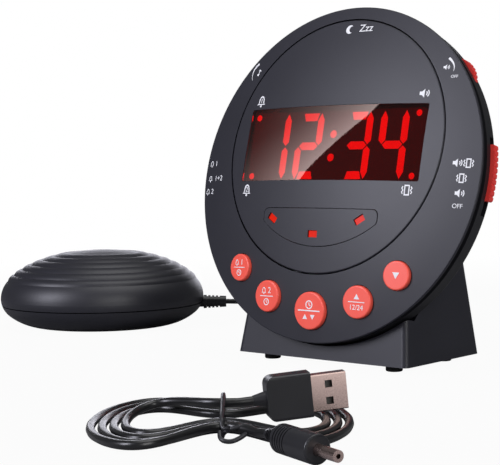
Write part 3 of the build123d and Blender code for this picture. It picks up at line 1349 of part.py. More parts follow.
def shaker_cord_tail():
    """From the coil's last turn up to the plug in the rear of the stand."""
    lead = coil_edges()[-1]
    start = lead @ 1
    plane = jack_plane(SHAKER_JACK_ASIDE)
    end = plane.origin + plane.z_dir * jack_plug_end()
    before = end + plane.z_dir * TAIL_PLUG_LEAD
    after = start + (lead % 1) * TAIL_LEAD
    middle = (after + before) * 0.5 + Vector(0, 0, TAIL_LIFT)
    return routed([start, after, middle, before, end], SHAKER_CORD, "shaker_cord_tail")


def coil_tie():
    """Strap round one side of the coil."""
    first = COIL_OUTER - (COIL_TURNS + 0.25) * COIL_PITCH - SHAKER_CORD / 2 - TIE_FIT
    last = COIL_OUTER + COIL_PITCH / 4 + SHAKER_CORD / 2 + TIE_FIT
    high = SHAKER_CORD + (COIL_LAYERS - 1) * COIL_PITCH
    outer = Pos((first + last) / 2, 0, (high + TIE_FIT + TIE_THICK) / 2) * Box(
        last - first + 2 * TIE_THICK, TIE_WIDTH, high + TIE_FIT + TIE_THICK)
    inner = Pos((first + last) / 2, 0, (high + TIE_FIT) / 2 - TIE_THICK) * Box(
        last - first, TIE_WIDTH, high + TIE_FIT + 2 * TIE_THICK)
    return Pos(*COIL_CENTRE) * Rot(0, 0, 225) * (outer - inner)


def jack_plug_end():
    return JACK_NOSE_PROUD + JACK_PLUG_GAP + JACK_PLUG_LENGTH + JACK_PLUG_TAPER


def jack_plug_grip():
    start = JACK_NOSE_PROUD + JACK_PLUG_GAP
    grip = rod(JACK_PLUG_RADIUS, start, start + JACK_PLUG_LENGTH)
    grip = round_edges(grip, JACK_PLUG_ROUND, JACK_PLUG_RADIUS, start + JACK_PLUG_LENGTH)
    tail = ribbed_relief(RELIEF_NECK_RADIUS, SHAKER_CORD / 2 + RELIEF_RIB_DEPTH, JACK_PLUG_TAPER)
    grip += Pos(0, 0, start + JACK_PLUG_LENGTH) * tail
    grip -= rod(JACK_PLUG_PIN_RADIUS, start, start + JACK_PLUG_LENGTH / 2)
    return jack_plane(SHAKER_JACK_ASIDE) * grip


def jack_plug_pin():
    start = JACK_NOSE_PROUD + JACK_PLUG_GAP
    pin = rod(JACK_PLUG_PIN_RADIUS, start - JACK_PLUG_PIN_LENGTH, start + JACK_PLUG_LENGTH / 2)
    return jack_plane(SHAKER_JACK_ASIDE) * pin


# Power cord and its plugs, in the hank's own frame

def usb_place():
    """Frame of the USB plug: Z along the plug, X across its wide face, which stands upright."""
    turn, pitch = math.radians(USB_HEADING), math.radians(USB_PITCH)
    way = (math.cos(turn) * math.cos(pitch), math.sin(turn) * math.cos(pitch), math.sin(pitch))
    across = (-math.cos(turn) * math.sin(pitch), -math.sin(turn) * math.sin(pitch), math.cos(pitch))
    return Plane(origin=(USB_ROOT[0], USB_ROOT[1], USB_ROOT_HEIGHT), x_dir=across, z_dir=way)


def usb_grip():
    start = USB_RELIEF_LENGTH
    body = extrude(Pos(0, 0, start) * RectangleRounded(USB_GRIP_WIDTH, USB_GRIP_THICK, USB_GRIP_ROUND),
                   amount=USB_GRIP_LENGTH)
    beyond = USB_GRIP_LENGTH + 2 * USB_GRIP_SHOULDER
    shoulders = Pos(0, start + beyond / 2) * RectangleRounded(USB_GRIP_WIDTH, beyond, USB_GRIP_SHOULDER)
    body &= extrude(Plane.XZ * shoulders, amount=USB_GRIP_THICK, both=True)
    body += Pos(0, 0, start / 2) * Cone(POWER_CORD / 2 + RELIEF_FIT, USB_RELIEF_RADIUS, start)
    end = start + USB_GRIP_LENGTH
    body -= Pos(0, 0, end - USB_SHELL_SUNK / 2) * Box(
        USB_SHELL_WIDTH + 2 * USB_FIT, USB_SHELL_THICK + 2 * USB_FIT, USB_SHELL_SUNK)
    return usb_place() * body


def usb_shell():
    """Open metal box with two square windows in each wide face."""
    start = USB_RELIEF_LENGTH + USB_GRIP_LENGTH - USB_SHELL_SUNK
    length = USB_SHELL_SUNK + USB_SHELL_LENGTH
    outer = extrude(Pos(0, 0, start) * RectangleRounded(USB_SHELL_WIDTH, USB_SHELL_THICK, USB_SHELL_WALL),
                    amount=length)
    outer -= Pos(0, 0, start + length / 2) * Box(
        USB_SHELL_WIDTH - 2 * USB_SHELL_WALL, USB_SHELL_THICK - 2 * USB_SHELL_WALL, length)
    middle = start + USB_SHELL_SUNK + USB_SHELL_LENGTH / 2
    for side in (-1, 1):
        outer -= Pos(side * USB_WINDOW_ASIDE, 0, middle) * Box(USB_WINDOW, 2 * USB_SHELL_THICK, USB_WINDOW)
    return usb_place() * outer


def usb_tongue():
    """Plastic tongue in one half of the shell, filling it where it enters the grip."""
    start = USB_RELIEF_LENGTH + USB_GRIP_LENGTH - USB_SHELL_SUNK
    length = USB_SHELL_SUNK + USB_SHELL_LENGTH - USB_TONGUE_SHORT
    wide = USB_SHELL_WIDTH - 2 * USB_SHELL_WALL - 2 * USB_FIT
    high = USB_SHELL_THICK - 2 * USB_SHELL_WALL - 2 * USB_FIT
    tongue = Pos(0, (USB_TONGUE_THICK - high) / 2, start + length / 2) * Box(wide, USB_TONGUE_THICK, length)
    tongue += Pos(0, 0, start + USB_SHELL_SUNK / 2) * Box(wide, high, USB_SHELL_SUNK)
    return usb_place() * tongue


def barrel_place():
    """Frame of the barrel plug, Z along the plug, lying on the table."""
    way = Vector(1, 0, 0).rotate(Axis.Z, BARREL_HEADING)
    return Plane(origin=(BARREL_ROOT[0], BARREL_ROOT[1], BARREL_GRIP_RADIUS), x_dir=(0, 0, 1), z_dir=way)


def barrel_grip():
    start = BARREL_RELIEF_LENGTH
    grip = rod(BARREL_GRIP_RADIUS, start, start + BARREL_GRIP_LENGTH)
    for height in (start, start + BARREL_GRIP_LENGTH):
        grip = round_edges(grip, BARREL_GRIP_ROUND, BARREL_GRIP_RADIUS, height)
    relief = Pos(0, 0, start) * Rot(180, 0, 0) * ribbed_relief(
        BARREL_RELIEF_RADIUS, POWER_CORD / 2 + RELIEF_FIT, BARREL_RELIEF_LENGTH)
    grip += relief
    end = start + BARREL_GRIP_LENGTH
    grip -= rod(BARREL_ROOT_RADIUS, end - BARREL_SUNK, end)
    core = rod(BARREL_GRIP_RADIUS - BARREL_RING_DEPTH, start, end)
    for ring in range(1, BARREL_RINGS + 1):
        height = start + BARREL_GRIP_ROUND + ring * BARREL_RING_PITCH
        grip -= rod(2 * BARREL_GRIP_RADIUS, height - BARREL_RING_CUT / 2, height + BARREL_RING_CUT / 2) - core
    return barrel_place() * grip


def barrel_tube():
    end = BARREL_RELIEF_LENGTH + BARREL_GRIP_LENGTH
    tube = rod(BARREL_RADIUS, end, end + BARREL_LENGTH) + rod(BARREL_ROOT_RADIUS, end - BARREL_SUNK, end)
    tube -= rod(BARREL_BORE, end - BARREL_SUNK, end + BARREL_LENGTH)
    return barrel_place() * tube


def usb_tail():
    """From the hank's last turn to the root of the USB plug."""
    lead = hank_edges()[-1]
    start = lead @ 1
    place = usb_place()
    end = place.origin
    third = (end - start).length / 3
    points = [start, start + (lead % 1) * third, end - place.z_dir * third, end]
    return routed(points, POWER_CORD, "power_cord_usb_tail")


def barrel_tail():
    """From the hank's first turn to the root of the barrel plug."""
    lead = hank_edges()[0]
    start = lead @ 0
    place = barrel_place()
    end = place.origin
    third = (end - start).length / 3
    points = [start, start - (lead % 0) * third, end - place.z_dir * third, end]
    return routed(points, POWER_CORD, "power_cord_dc_tail")


def twist_tie():
    """Flat wire round the waist of the hank, its two ends twisted together on the near side."""
    reach = POWER_CORD / 2 + TIE_FIT
    near = -HANK_WAIST - HANK_TURNS * HANK_STEP_DEEP - reach
    far = HANK_WAIST + (HANK_TURNS - 0.5) * HANK_STEP_DEEP + reach
    low = HANK_TIE_LIFT + POWER_CORD + TIE_FIT
    high = low + HANK_RISE
    top = (HANK_WAIST - reach, HANK_WAIST + reach)
    inner = make_face(Polyline((near, TIE_THICK), (far, TIE_THICK), (far, low), (top[1], high), (top[0], high),
                               (near, low + HANK_FIRST_RISE), close=True))
    band = offset(inner, TIE_THICK, kind=Kind.ARC) - inner
    strip = extrude(Plane.YZ * band, amount=HANK_TIE_WIDTH / 2, both=True)
    layers = []
    for i in range(TIE_TWIST_STEPS + 1):
        place = Pos(0, 0, TIE_TWIST * i / TIE_TWIST_STEPS) * Rot(0, 0, TIE_TWIST_ANGLE * i)
        layers.append(place * Rectangle(TIE_TWIST_WIDTH, TIE_THICK))
    root = Plane(origin=(0, near - TIE_THICK / 2, low * 0.6), x_dir=(1, 0, 0), z_dir=(0.35, -0.93, 0.1))
    return strip + root * loft(layers, ruled=True)


def write(name, piece, place=None):
    """Place a piece, or a list of like pieces, and write it to its own file."""
    pieces = piece if isinstance(piece, list) else [piece]
    solids = [s for p in pieces for s in p.solids()]
    if place is not None:
        solids = [place * s for s in solids]
    whole = solids[0] if len(solids) == 1 else Compound(children=solids)
    export_step(whole, os.path.join("parts", name + ".step"))


def main():
    os.makedirs("parts", exist_ok=True)
    in_drum = {
        "front_cover": front_cover(), "snooze_plate": snooze_plate(), "display_window": display_window(),
        "alert_light_panel": alert_panel(), "alert_light_lenses": alert_lenses(),
        "snooze_hinge_pin": hinge_pin(), "main_board": main_board(), "led_display": led_display(),
        "lit_segments": lit_segments(),
        "alert_leds": alert_leds(), "push_switches": push_switches(), "battery_holder": cell_holder(),
        "backup_cell": backup_cell(), "volume_wheel": thumbwheel(WHEEL_ANGLE),
        "tone_wheel": thumbwheel(180 - WHEEL_ANGLE), "volume_control": pot(WHEEL_ANGLE),
        "tone_control": pot(180 - WHEEL_ANGLE), "alert_mode_slider": slider(MODE_ANGLE),
        "alarm_select_slider": slider(SELECT_ANGLE), "alert_mode_switch": slide_switch(MODE_ANGLE, MODE_TRAVEL),
        "alarm_select_switch": slide_switch(SELECT_ANGLE, SELECT_TRAVEL), "speaker_frame": speaker_frame(),
        "speaker_magnet": speaker_magnet(), "speaker_cone": speaker_cone(),
    }
    for name, angle, radius in BUTTONS:
        in_drum[name] = button(angle, radius * FACE_RADIUS)
    in_shaker = {
        "shaker_top": shaker_top(), "shaker_base": shaker_base(), "shaker_motor": shaker_motor(),
        "motor_cradle": motor_cradle(), "motor_clamp": motor_clamp(), "eccentric_weight": eccentric_weight(),
        "shaker_screws": shaker_screws(), "shaker_strain_relief": shaker_relief(),
    }
    in_hank = {
        "usb_plug_grip": usb_grip(), "usb_plug_shell": usb_shell(), "usb_plug_tongue": usb_tongue(),
        "dc_plug_grip": barrel_grip(), "dc_plug_barrel": barrel_tube(), "power_cord_usb_tail": usb_tail(),
        "power_cord_dc_tail": barrel_tail(), "power_cord_tie": twist_tie(),
        "power_cord_hank": cord_along(hank_edges(), POWER_CORD),
    }
    standing = {
        "rear_housing": rear_housing(), "stand": stand(), "base_plate": base_plate(),
        "rubber_feet": rubber_feet(), "clock_screws": clock_screws(), "power_jack": power_jack(),
        "shaker_jack": jack(SHAKER_JACK_ASIDE),
        "jack_nuts": jack_nuts(), "shaker_cord_run": shaker_cord_run(), "shaker_cord_tail": shaker_cord_tail(),
        "shaker_cord_coil": cord_along(coil_edges(), SHAKER_CORD), "shaker_coil_tie": coil_tie(),
        "shaker_plug_grip": jack_plug_grip(), "shaker_plug_pin": jack_plug_pin(),
    }
    for pieces, place in ((in_drum, DRUM), (in_shaker, SHAKER), (in_hank, HANK), (standing, None)):
        for name, piece in pieces.items():
            write(name, piece, place)
    least_gap(coil_edges(), SHAKER_CORD, "shaker_cord_coil")
    least_gap(hank_edges(), POWER_CORD, "power_cord_hank")


main()
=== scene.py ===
"""Looks for the bed shaker alarm clock: cords, printed marks, finishes, studio and camera.

Lengths in this script are in millimetres until they are handed to Blender, which takes metres.
"""
import logging
import math
from dataclasses import dataclass
from enum import Enum
from typing import Any, Callable, Mapping, Sequence

import bpy
from mathutils import Matrix, Vector


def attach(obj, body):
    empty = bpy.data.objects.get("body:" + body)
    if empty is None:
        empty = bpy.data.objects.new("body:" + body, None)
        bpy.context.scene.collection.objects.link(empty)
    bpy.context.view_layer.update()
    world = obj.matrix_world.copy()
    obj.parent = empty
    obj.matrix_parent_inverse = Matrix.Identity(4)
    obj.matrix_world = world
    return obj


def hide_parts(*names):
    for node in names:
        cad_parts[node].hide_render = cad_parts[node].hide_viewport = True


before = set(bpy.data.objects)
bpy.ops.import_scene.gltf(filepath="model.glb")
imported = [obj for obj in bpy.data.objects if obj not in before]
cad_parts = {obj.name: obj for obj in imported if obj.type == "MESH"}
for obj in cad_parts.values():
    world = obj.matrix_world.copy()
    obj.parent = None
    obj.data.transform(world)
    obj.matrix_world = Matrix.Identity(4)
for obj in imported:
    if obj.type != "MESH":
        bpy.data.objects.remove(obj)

LOG = logging.getLogger("bed_shaker_clock")
MM = 0.001
# Numbers of the Mix node's colour inputs and colour output
MIX_FIRST, MIX_SECOND, MIX_COLOUR = 6, 7, 2

Point = tuple[float, float]
Loop = list[Point]
Surface = Callable[[float, float, float], Vector]


# Shared helpers

def linear(code: str) -> tuple[float, float, float, float]:
    """Turn an sRGB hex colour into the linear colour that nodes take.

    Args:
        code: Six hex digits after a hash.

    Returns:
        Linear red, green, blue and an alpha of one.
    """
    parts = [int(code[i:i + 2], 16) / 255 for i in (1, 3, 5)]
    red, green, blue = (c / 12.92 if c <= 0.04045 else ((c + 0.055) / 1.055) ** 2.4 for c in parts)
    return red, green, blue, 1.0


def add_node(tree: bpy.types.NodeTree, kind: str, settings: Mapping[str | int, Any] | None = None,
             links: Mapping[str | int, bpy.types.NodeSocket] | None = None) -> bpy.types.Node:
    """Add one node with its settings and the sockets that feed it.

    Args:
        tree: Node tree to add to.
        kind: Blender's name for the kind of node.
        settings: Values by input name or number, or by property name.
        links: Output sockets by the input name or number that they feed.

    Returns:
        The new node.
    """
    node = tree.nodes.new(kind)
    for key, value in (settings or {}).items():
        if isinstance(key, str) and hasattr(node, key):
            setattr(node, key, value)
    for key, value in (settings or {}).items():
        if not (isinstance(key, str) and hasattr(node, key)):
            node.inputs[key].default_value = value
    for key, socket in (links or {}).items():
        tree.links.new(socket, node.inputs[key])
    return node


def blank_material(name: str) -> tuple[bpy.types.Material, bpy.types.NodeTree]:
    """Start a material with an empty node tree.

    Args:
        name: Material and process, as the material is named.

    Returns:
        The material and its node tree.
    """
    material = bpy.data.materials.new(name)
    material.use_nodes = True
    material.node_tree.nodes.clear()
    return material, material.node_tree


def pattern(tree: bpy.types.NodeTree, size: float, detail: float) -> bpy.types.NodeSocket:
    """Add noise whose patches have a real size on the piece.

    Args:
        tree: Node tree to add to.
        size: Size of a patch, in millimetres.
        detail: Levels of finer noise in it.

    Returns:
        The socket that gives the noise.
    """
    place = add_node(tree, "ShaderNodeTexCoord").outputs["Object"]
    noise = add_node(tree, "ShaderNodeTexNoise", {"Scale": 1 / (size * MM), "Detail": detail},
                     {"Vector": place})
    return noise.outputs["Fac"]


def two_tone(tree: bpy.types.NodeTree, first: str, second: str,
             share: bpy.types.NodeSocket) -> bpy.types.NodeSocket:
    """Mix two colours by a pattern.

    Args:
        tree: Node tree to add to.
        first: Hex colour where the pattern is nought.
        second: Hex colour where the pattern is one.
        share: Socket that gives the pattern.

    Returns:
        The socket that gives the colour.
    """
    mix = add_node(tree, "ShaderNodeMix",
                   {"data_type": "RGBA", MIX_FIRST: linear(first), MIX_SECOND: linear(second)}, {0: share})
    return mix.outputs[MIX_COLOUR]


def between(tree: bpy.types.NodeTree, low: float, high: float, share: bpy.types.NodeSocket,
            span: Point = (0.0, 1.0)) -> bpy.types.NodeSocket:
    """Spread a pattern between two values.

    Args:
        tree: Node tree to add to.
        low: Value where the pattern is at the start of its span.
        high: Value where the pattern is at the end of its span.
        share: Socket that gives the pattern.
        span: Start and end of the pattern's span.

    Returns:
        The socket that gives the value.
    """
    spread = add_node(tree, "ShaderNodeMapRange",
                      {"From Min": span[0], "From Max": span[1], "To Min": low, "To Max": high},
                      {"Value": share})
    return spread.outputs["Result"]


def show(tree: bpy.types.NodeTree, shader: bpy.types.Node) -> None:
    """Let a shader be the material's surface.

    Args:
        tree: Node tree of the material.
        shader: Node whose first output is the surface.
    """
    add_node(tree, "ShaderNodeOutputMaterial", links={"Surface": shader.outputs[0]})


def link_object(name: str, data: bpy.types.ID) -> bpy.types.Object:
    """Put new data into the scene at the origin.

    Args:
        name: Name of the piece.
        data: Mesh, curve, light or camera.

    Returns:
        The new object.
    """
    piece = bpy.data.objects.new(name, data)
    bpy.context.scene.collection.objects.link(piece)
    return piece


def plain_mesh(source: bpy.types.Object, name: str) -> bpy.types.Mesh:
    """Turn an object with curves or live modifiers into a plain mesh, and remove the object.

    Args:
        source: Object to evaluate.
        name: Name of the mesh.

    Returns:
        The evaluated mesh.
    """
    bpy.context.view_layer.update()
    graph = bpy.context.evaluated_depsgraph_get()
    mesh = bpy.data.meshes.new_from_object(source.evaluated_get(graph), depsgraph=graph)
    mesh.name = name
    bpy.data.objects.remove(source)
    return mesh


def ease(share: float) -> float:
    """Step smoothly from nought to one.

    Args:
        share: How far along, clamped to nought and one.

    Returns:
        The eased share.
    """
    share = min(max(share, 0.0), 1.0)
    return share * share * (3 - 2 * share)


# Finishes

class Slot(Enum):
    """Material slots of the record for the cords, the plugs and white plastic."""

    CORD = "cord_black"
    PLUG = "plug_black"
    WHITE = "white_plastic"


@dataclass(frozen=True)
class Moulded:
    """Moulded plastic or rubber: a fine grain in relief and gloss, and a tone that drifts slowly."""

    name: str
    colour: str
    pale: str
    gloss: tuple[float, float] = (0.36, 0.5)
    grain: float = 0.35
    relief: float = 0.012
    cloud: float = 24.0
    specular: float = 0.5
    bump: float = 0.35

    def material(self) -> bpy.types.Material:
        """Build the material.

        Returns:
            The finished material.
        """
        material, tree = blank_material(self.name)
        grain = pattern(tree, self.grain, detail=3.0)
        bump = add_node(tree, "ShaderNodeBump", {"Strength": self.bump, "Distance": self.relief * MM},
                        {"Height": grain})
        tone = two_tone(tree, self.colour, self.pale, pattern(tree, self.cloud, detail=2.0))
        shader = add_node(tree, "ShaderNodeBsdfPrincipled", {"Specular IOR Level": self.specular},
                          {"Base Color": tone, "Roughness": between(tree, *self.gloss, grain),
                           "Normal": bump.outputs["Normal"]})
        show(tree, shader)
        return material


@dataclass(frozen=True)
class Metal:
    """Plated or bare metal with fine drawn lines."""

    name: str
    colour: str
    shade: str
    gloss: tuple[float, float] = (0.18, 0.34)
    line: float = 0.12
    draw: float = 14.0

    def material(self) -> bpy.types.Material:
        """Build the material.

        Returns:
            The finished material.
        """
        material, tree = blank_material(self.name)
        place = add_node(tree, "ShaderNodeTexCoord").outputs["Object"]
        drawn = add_node(tree, "ShaderNodeMapping",
                         {"Scale": (1 / (self.draw * MM), 1 / (self.line * MM), 1 / (self.line * MM))},
                         {"Vector": place})
        noise = add_node(tree, "ShaderNodeTexNoise", {"Scale": 1.0, "Detail": 2.0},
                         {"Vector": drawn.outputs[0]})
        lines = noise.outputs["Fac"]
        shader = add_node(tree, "ShaderNodeBsdfPrincipled", {"Metallic": 1.0},
                          {"Base Color": two_tone(tree, self.shade, self.colour, lines),
                           "Roughness": between(tree, *self.gloss, lines)})
        show(tree, shader)
        return material


@dataclass(frozen=True)
class Tinted:
    """Clear plastic with a body colour, polished on both faces."""

    name: str
    colour: str
    deep: str
    rough: float = 0.02
    index: float = 1.49
    specular: float = 0.5
    ripple: float = 30.0

    def material(self) -> bpy.types.Material:
        """Build the material.

        Returns:
            The finished material.
        """
        material, tree = blank_material(self.name)
        tone = two_tone(tree, self.deep, self.colour, pattern(tree, self.ripple, detail=1.0))
        shader = add_node(tree, "ShaderNodeBsdfPrincipled",
                          {"Transmission Weight": 1.0, "Roughness": self.rough, "IOR": self.index,
                           "Specular IOR Level": self.specular}, {"Base Color": tone})
        show(tree, shader)
        return material


@dataclass(frozen=True)
class Lit:
    """Light-diffusing plastic that glows from behind, a little unevenly."""

    name: str
    colour: str
    glow: str
    strength: float
    patch: float = 3.0
    rough: float = 0.3
    specular: float = 0.5
    uneven: float = 0.08

    def material(self) -> bpy.types.Material:
        """Build the material.

        Returns:
            The finished material.
        """
        material, tree = blank_material(self.name)
        low, high = (self.strength * (1 + way * self.uneven) for way in (-1, 1))
        power = between(tree, low, high, pattern(tree, self.patch, detail=1.0))
        shader = add_node(tree, "ShaderNodeBsdfPrincipled",
                          {"Base Color": linear(self.colour), "Roughness": self.rough,
                           "Specular IOR Level": self.specular, "Emission Color": linear(self.glow)},
                          {"Emission Strength": power})
        show(tree, shader)
        return material


# Spark-eroded charcoal ABS of the clock's shells
CHARCOAL_ABS = Moulded("abs_charcoal_spark_eroded", "#1c1c24", "#23232c", (0.39, 0.5))
# The same ABS in the drum behind the face, darkened to near black as painted shade: it stands for the
# shadow on the band behind the rim
SHADED_DRUM_ABS = Moulded("abs_charcoal_darkened_painted_shade", "#141418", "#1b1b20", (0.44, 0.56))
# The same ABS in black for the base and inside parts
BLACK_ABS = Moulded("abs_black_moulded", "#131315", "#1b1b1e", (0.4, 0.55))
# Satin black ABS of the shaker puck
SHAKER_ABS = Moulded("abs_black_satin_moulded", "#101019", "#161622", (0.42, 0.52), specular=0.7)
# Coral ABS caps, polished mould
CORAL_ABS = Moulded("abs_coral_polished_mould", "#ff5a49", "#ff6454", (0.3, 0.4), 0.5, 0.006, 6.0)
# Red acetal of the sliders and thumbwheels
RED_ACETAL = Moulded("acetal_red_moulded", "#f23c38", "#fb4a45", (0.34, 0.46), 0.4, 0.008, 5.0)
# Soft PVC of the cords and of the plugs moulded on them
CORD_PVC = Moulded("pvc_black_extruded", "#101011", "#171719", (0.28, 0.36), 0.9, 0.002, 12.0, 0.6)
PLUG_PVC = Moulded("pvc_black_overmoulded", "#1e1e21", "#27272b", (0.3, 0.42), 0.4, 0.012, 8.0)
FOOT_RUBBER = Moulded("rubber_black_moulded", "#0f0f10", "#171718", (0.6, 0.75), 0.5, 0.03, 6.0, 0.3)
GREY_PBT = Moulded("pbt_grey_moulded", "#4a4744", "#57544f", (0.4, 0.5), 0.4, 0.01, 4.0)
SOLDER_MASK = Moulded("fibreglass_green_solder_mask", "#0d4a22", "#14592b", (0.25, 0.4), 0.8, 0.02, 9.0)
CONE_PAPER = Moulded("paper_grey_pressed_cone", "#4a4844", "#5c5a55", (0.8, 0.95), 0.9, 0.05, 6.0, 0.2)
FERRITE = Moulded("ferrite_grey_sintered", "#2c2c2e", "#38383a", (0.5, 0.7), 0.6, 0.03, 7.0)
# Pad-printed white ink
WHITE_INK = Moulded("ink_white_pad_printed", "#e9eaee", "#f6f6f8", (0.5, 0.65), 0.2, 0.004, 2.0)
# Nickel plating on the plugs, zinc on the screws and motor
NICKEL = Metal("brass_nickel_plated", "#cdb8b2", "#a8918b")
ZINC = Metal("steel_zinc_plated", "#b9bcc0", "#93969b", (0.28, 0.45))
# Deep red acrylic of the window, clear red polycarbonate of the alert lights
RED_ACRYLIC = Tinted("acrylic_deep_red_polished", "#8e0d0a", "#7a0806", specular=0.35)
RED_LENS = Lit("polycarbonate_red_frosted", "#c91a06", "#e12305", 0.34, specular=0.12)
LIT_SEGMENT = Lit("epoxy_red_lit_diffuser", "#c00010", "#ff0022", 3.6)
# Face of the display block, with the light that its strokes spread in it
DISPLAY_FACE = Lit("epoxy_dark_red_display_face", "#2a0402", "#ff1206", 0.1, 9.0, 0.5)

DRESS: dict[Moulded | Metal | Tinted | Lit, tuple[str, ...]] = {
    CHARCOAL_ABS: ("front_cover", "snooze_plate", "alert_light_panel", "stand"),
    # The rear housing takes the darkened drum finish, painted shade for the band behind the rim
    SHADED_DRUM_ABS: ("rear_housing",),
    BLACK_ABS: ("base_plate", "push_switches", "battery_holder", "volume_control", "tone_control",
                "alert_mode_switch", "alarm_select_switch", "power_jack", "shaker_jack", "motor_cradle"),
    SHAKER_ABS: ("shaker_top", "shaker_base"),
    CORAL_ABS: ("alarm_1_button", "alarm_2_button", "time_button", "up_button", "down_button"),
    RED_ACETAL: ("volume_wheel", "tone_wheel", "alert_mode_slider", "alarm_select_slider"),
    PLUG_PVC: ("shaker_strain_relief", "shaker_plug_grip", "usb_plug_grip", "dc_plug_grip",
               "shaker_coil_tie"),
    FOOT_RUBBER: ("rubber_feet",),
    GREY_PBT: ("usb_plug_tongue",),
    SOLDER_MASK: ("main_board",),
    CONE_PAPER: ("speaker_cone",),
    FERRITE: ("speaker_magnet",),
    NICKEL: ("usb_plug_shell", "dc_plug_barrel", "shaker_plug_pin", "jack_nuts"),
    ZINC: ("snooze_hinge_pin", "backup_cell", "clock_screws", "speaker_frame", "shaker_motor",
           "motor_clamp", "eccentric_weight", "shaker_screws"),
    RED_ACRYLIC: ("display_window",),
    RED_LENS: ("alert_light_lenses", "alert_leds"),
    LIT_SEGMENT: ("lit_segments",),
    DISPLAY_FACE: ("led_display",),
}


# Cords

def open_spline(name: str, points: Sequence[Vector]) -> bpy.types.Curve:
    """Start a curve with one open spline from the first control point to the last.

    Args:
        name: Name of the curve.
        points: Control points, in millimetres.

    Returns:
        The curve.
    """
    data = bpy.data.curves.new(name, "CURVE")
    data.dimensions = "3D"
    spline = data.splines.new("NURBS")
    spline.points.add(len(points) - 1)
    for point, place in zip(spline.points, points):
        point.co = (*(place * MM), 1.0)
    spline.order_u = 3
    spline.use_endpoint_u = True
    return data


@dataclass
class Cord:
    """A round cord on one open spline with its route as control points, and its steps along and around."""

    name: str
    diameter: float
    route: list[Vector]
    along: int = 4
    around: int = 3

    def build(self, material: bpy.types.Material) -> bpy.types.Object:
        """Make the curve.

        Args:
            material: Finish of the cord.

        Returns:
            The curve object, at the origin.
        """
        data = open_spline(self.name, self.route)
        data.splines[0].resolution_u = self.along
        data.bevel_depth = self.diameter / 2 * MM
        data.bevel_resolution = self.around
        data.use_fill_caps = True
        data.materials.append(material)
        return link_object(self.name, data)


def wound(point_at: Callable[[float], Vector], first: float, last: float, count: int,
          straight: float) -> tuple[list[Vector], Vector, Vector]:
    """Points along a wound cord, with a straight lead at each end.

    Args:
        point_at: Formula of the winding by its turn.
        first: Turn it starts at.
        last: Turn it ends at.
        count: Number of steps.
        straight: Length of each lead.

    Returns:
        The points, the direction at the start and the direction at the end.
    """
    step = 1e-4
    turns = [first + (last - first) * i / count for i in range(count + 1)]
    start_way = (point_at(first + step) - point_at(first - step)).normalized()
    end_way = (point_at(last + step) - point_at(last - step)).normalized()
    points = [point_at(t) for t in turns]
    return [points[0] - start_way * straight, *points, points[-1] + end_way * straight], start_way, end_way


@dataclass
class ShakerCord:
    """Cord from the shaker to the plug in the stand, its unseen length put away in a coil behind it."""

    diameter: float = 2.6
    shaker: tuple[float, float, float] = (-181.0, 25.0, 11.0)
    shaker_turn: float = 40.7
    relief_tip: float = 63.75
    coil_centre: Point = (-48.0, 100.0)
    coil_outer: float = 20.1
    coil_pitch: float = 3.08
    coil_span: float = 4.0
    coil_layers: int = 4
    coil_climb: float = 0.5
    coil_start: float = 0.25
    coil_turns: float = 15.25
    coil_steps: int = 305
    jack: tuple[float, float, float] = (-20.0, 25.05, 19.0)
    plug_end: float = 27.7
    rear_lean: float = 0.1
    run_along: tuple[float, float, float] = (14.0, 31.0, 48.0)
    run_aside: tuple[Point, Point] = ((-1.0, 1.5), (-2.0, 4.0))
    run_drop: float = 5.5
    run_lead: float = 17.0
    tail_leads: tuple[float, float] = (9.0, 8.0)
    tail_arch: float = 0.4
    length: float = 1540.0

    def coil_point(self, turn: float) -> Vector:
        """Point of the coil, which spirals in and out and climbs where it turns back.

        Args:
            turn: Turns from its start.

        Returns:
            The point.
        """
        top = self.coil_layers - 1
        layer = min(int(max(turn, 0.0) / self.coil_span), top)
        inside = turn - layer * self.coil_span
        climb = ease((inside - self.coil_span + self.coil_climb) / self.coil_climb) if layer < top else 0.0
        swing = (turn + self.coil_start) % (2 * self.coil_span)
        laps = min(swing, 2 * self.coil_span - swing) - self.coil_start
        radius = self.coil_outer - laps * self.coil_pitch
        angle = math.pi / 2 - 2 * math.pi * turn
        return Vector((self.coil_centre[0] + radius * math.cos(angle),
                       self.coil_centre[1] + radius * math.sin(angle),
                       self.diameter / 2 + (layer + climb) * self.coil_pitch))

    def build(self, material: bpy.types.Material) -> None:
        """Args:
            material: Finish of the cord.
        """
        turn = math.radians(self.shaker_turn)
        way = Vector((math.cos(turn), math.sin(turn), 0))
        start = Vector(self.shaker) + way * self.relief_tip
        coil, into, out = wound(self.coil_point, 0.0, self.coil_turns, self.coil_steps, self.diameter)
        first, second, third = (start + way * along for along in self.run_along)
        run = [start, first, second + Vector((*self.run_aside[0], -self.run_drop)),
               third + Vector((*self.run_aside[1], self.diameter / 2 - self.shaker[2])),
               coil[0] - into * self.run_lead]
        rear = Vector((0, 1, self.rear_lean)).normalized()
        end = Vector(self.jack) + rear * self.plug_end
        after, before = coil[-1] + out * self.tail_leads[0], end + rear * self.tail_leads[1]
        tail = [after, (after + before) / 2 + Vector((0, 0, self.tail_arch)), before, end]
        piece = Cord("shaker_cord", self.diameter, run + coil + tail).build(material)
        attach(piece, "clock")
        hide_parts("shaker_cord_run", "shaker_cord_coil", "shaker_cord_tail")
        LOG.info("shaker_cord: %d control points", len(run + coil + tail))


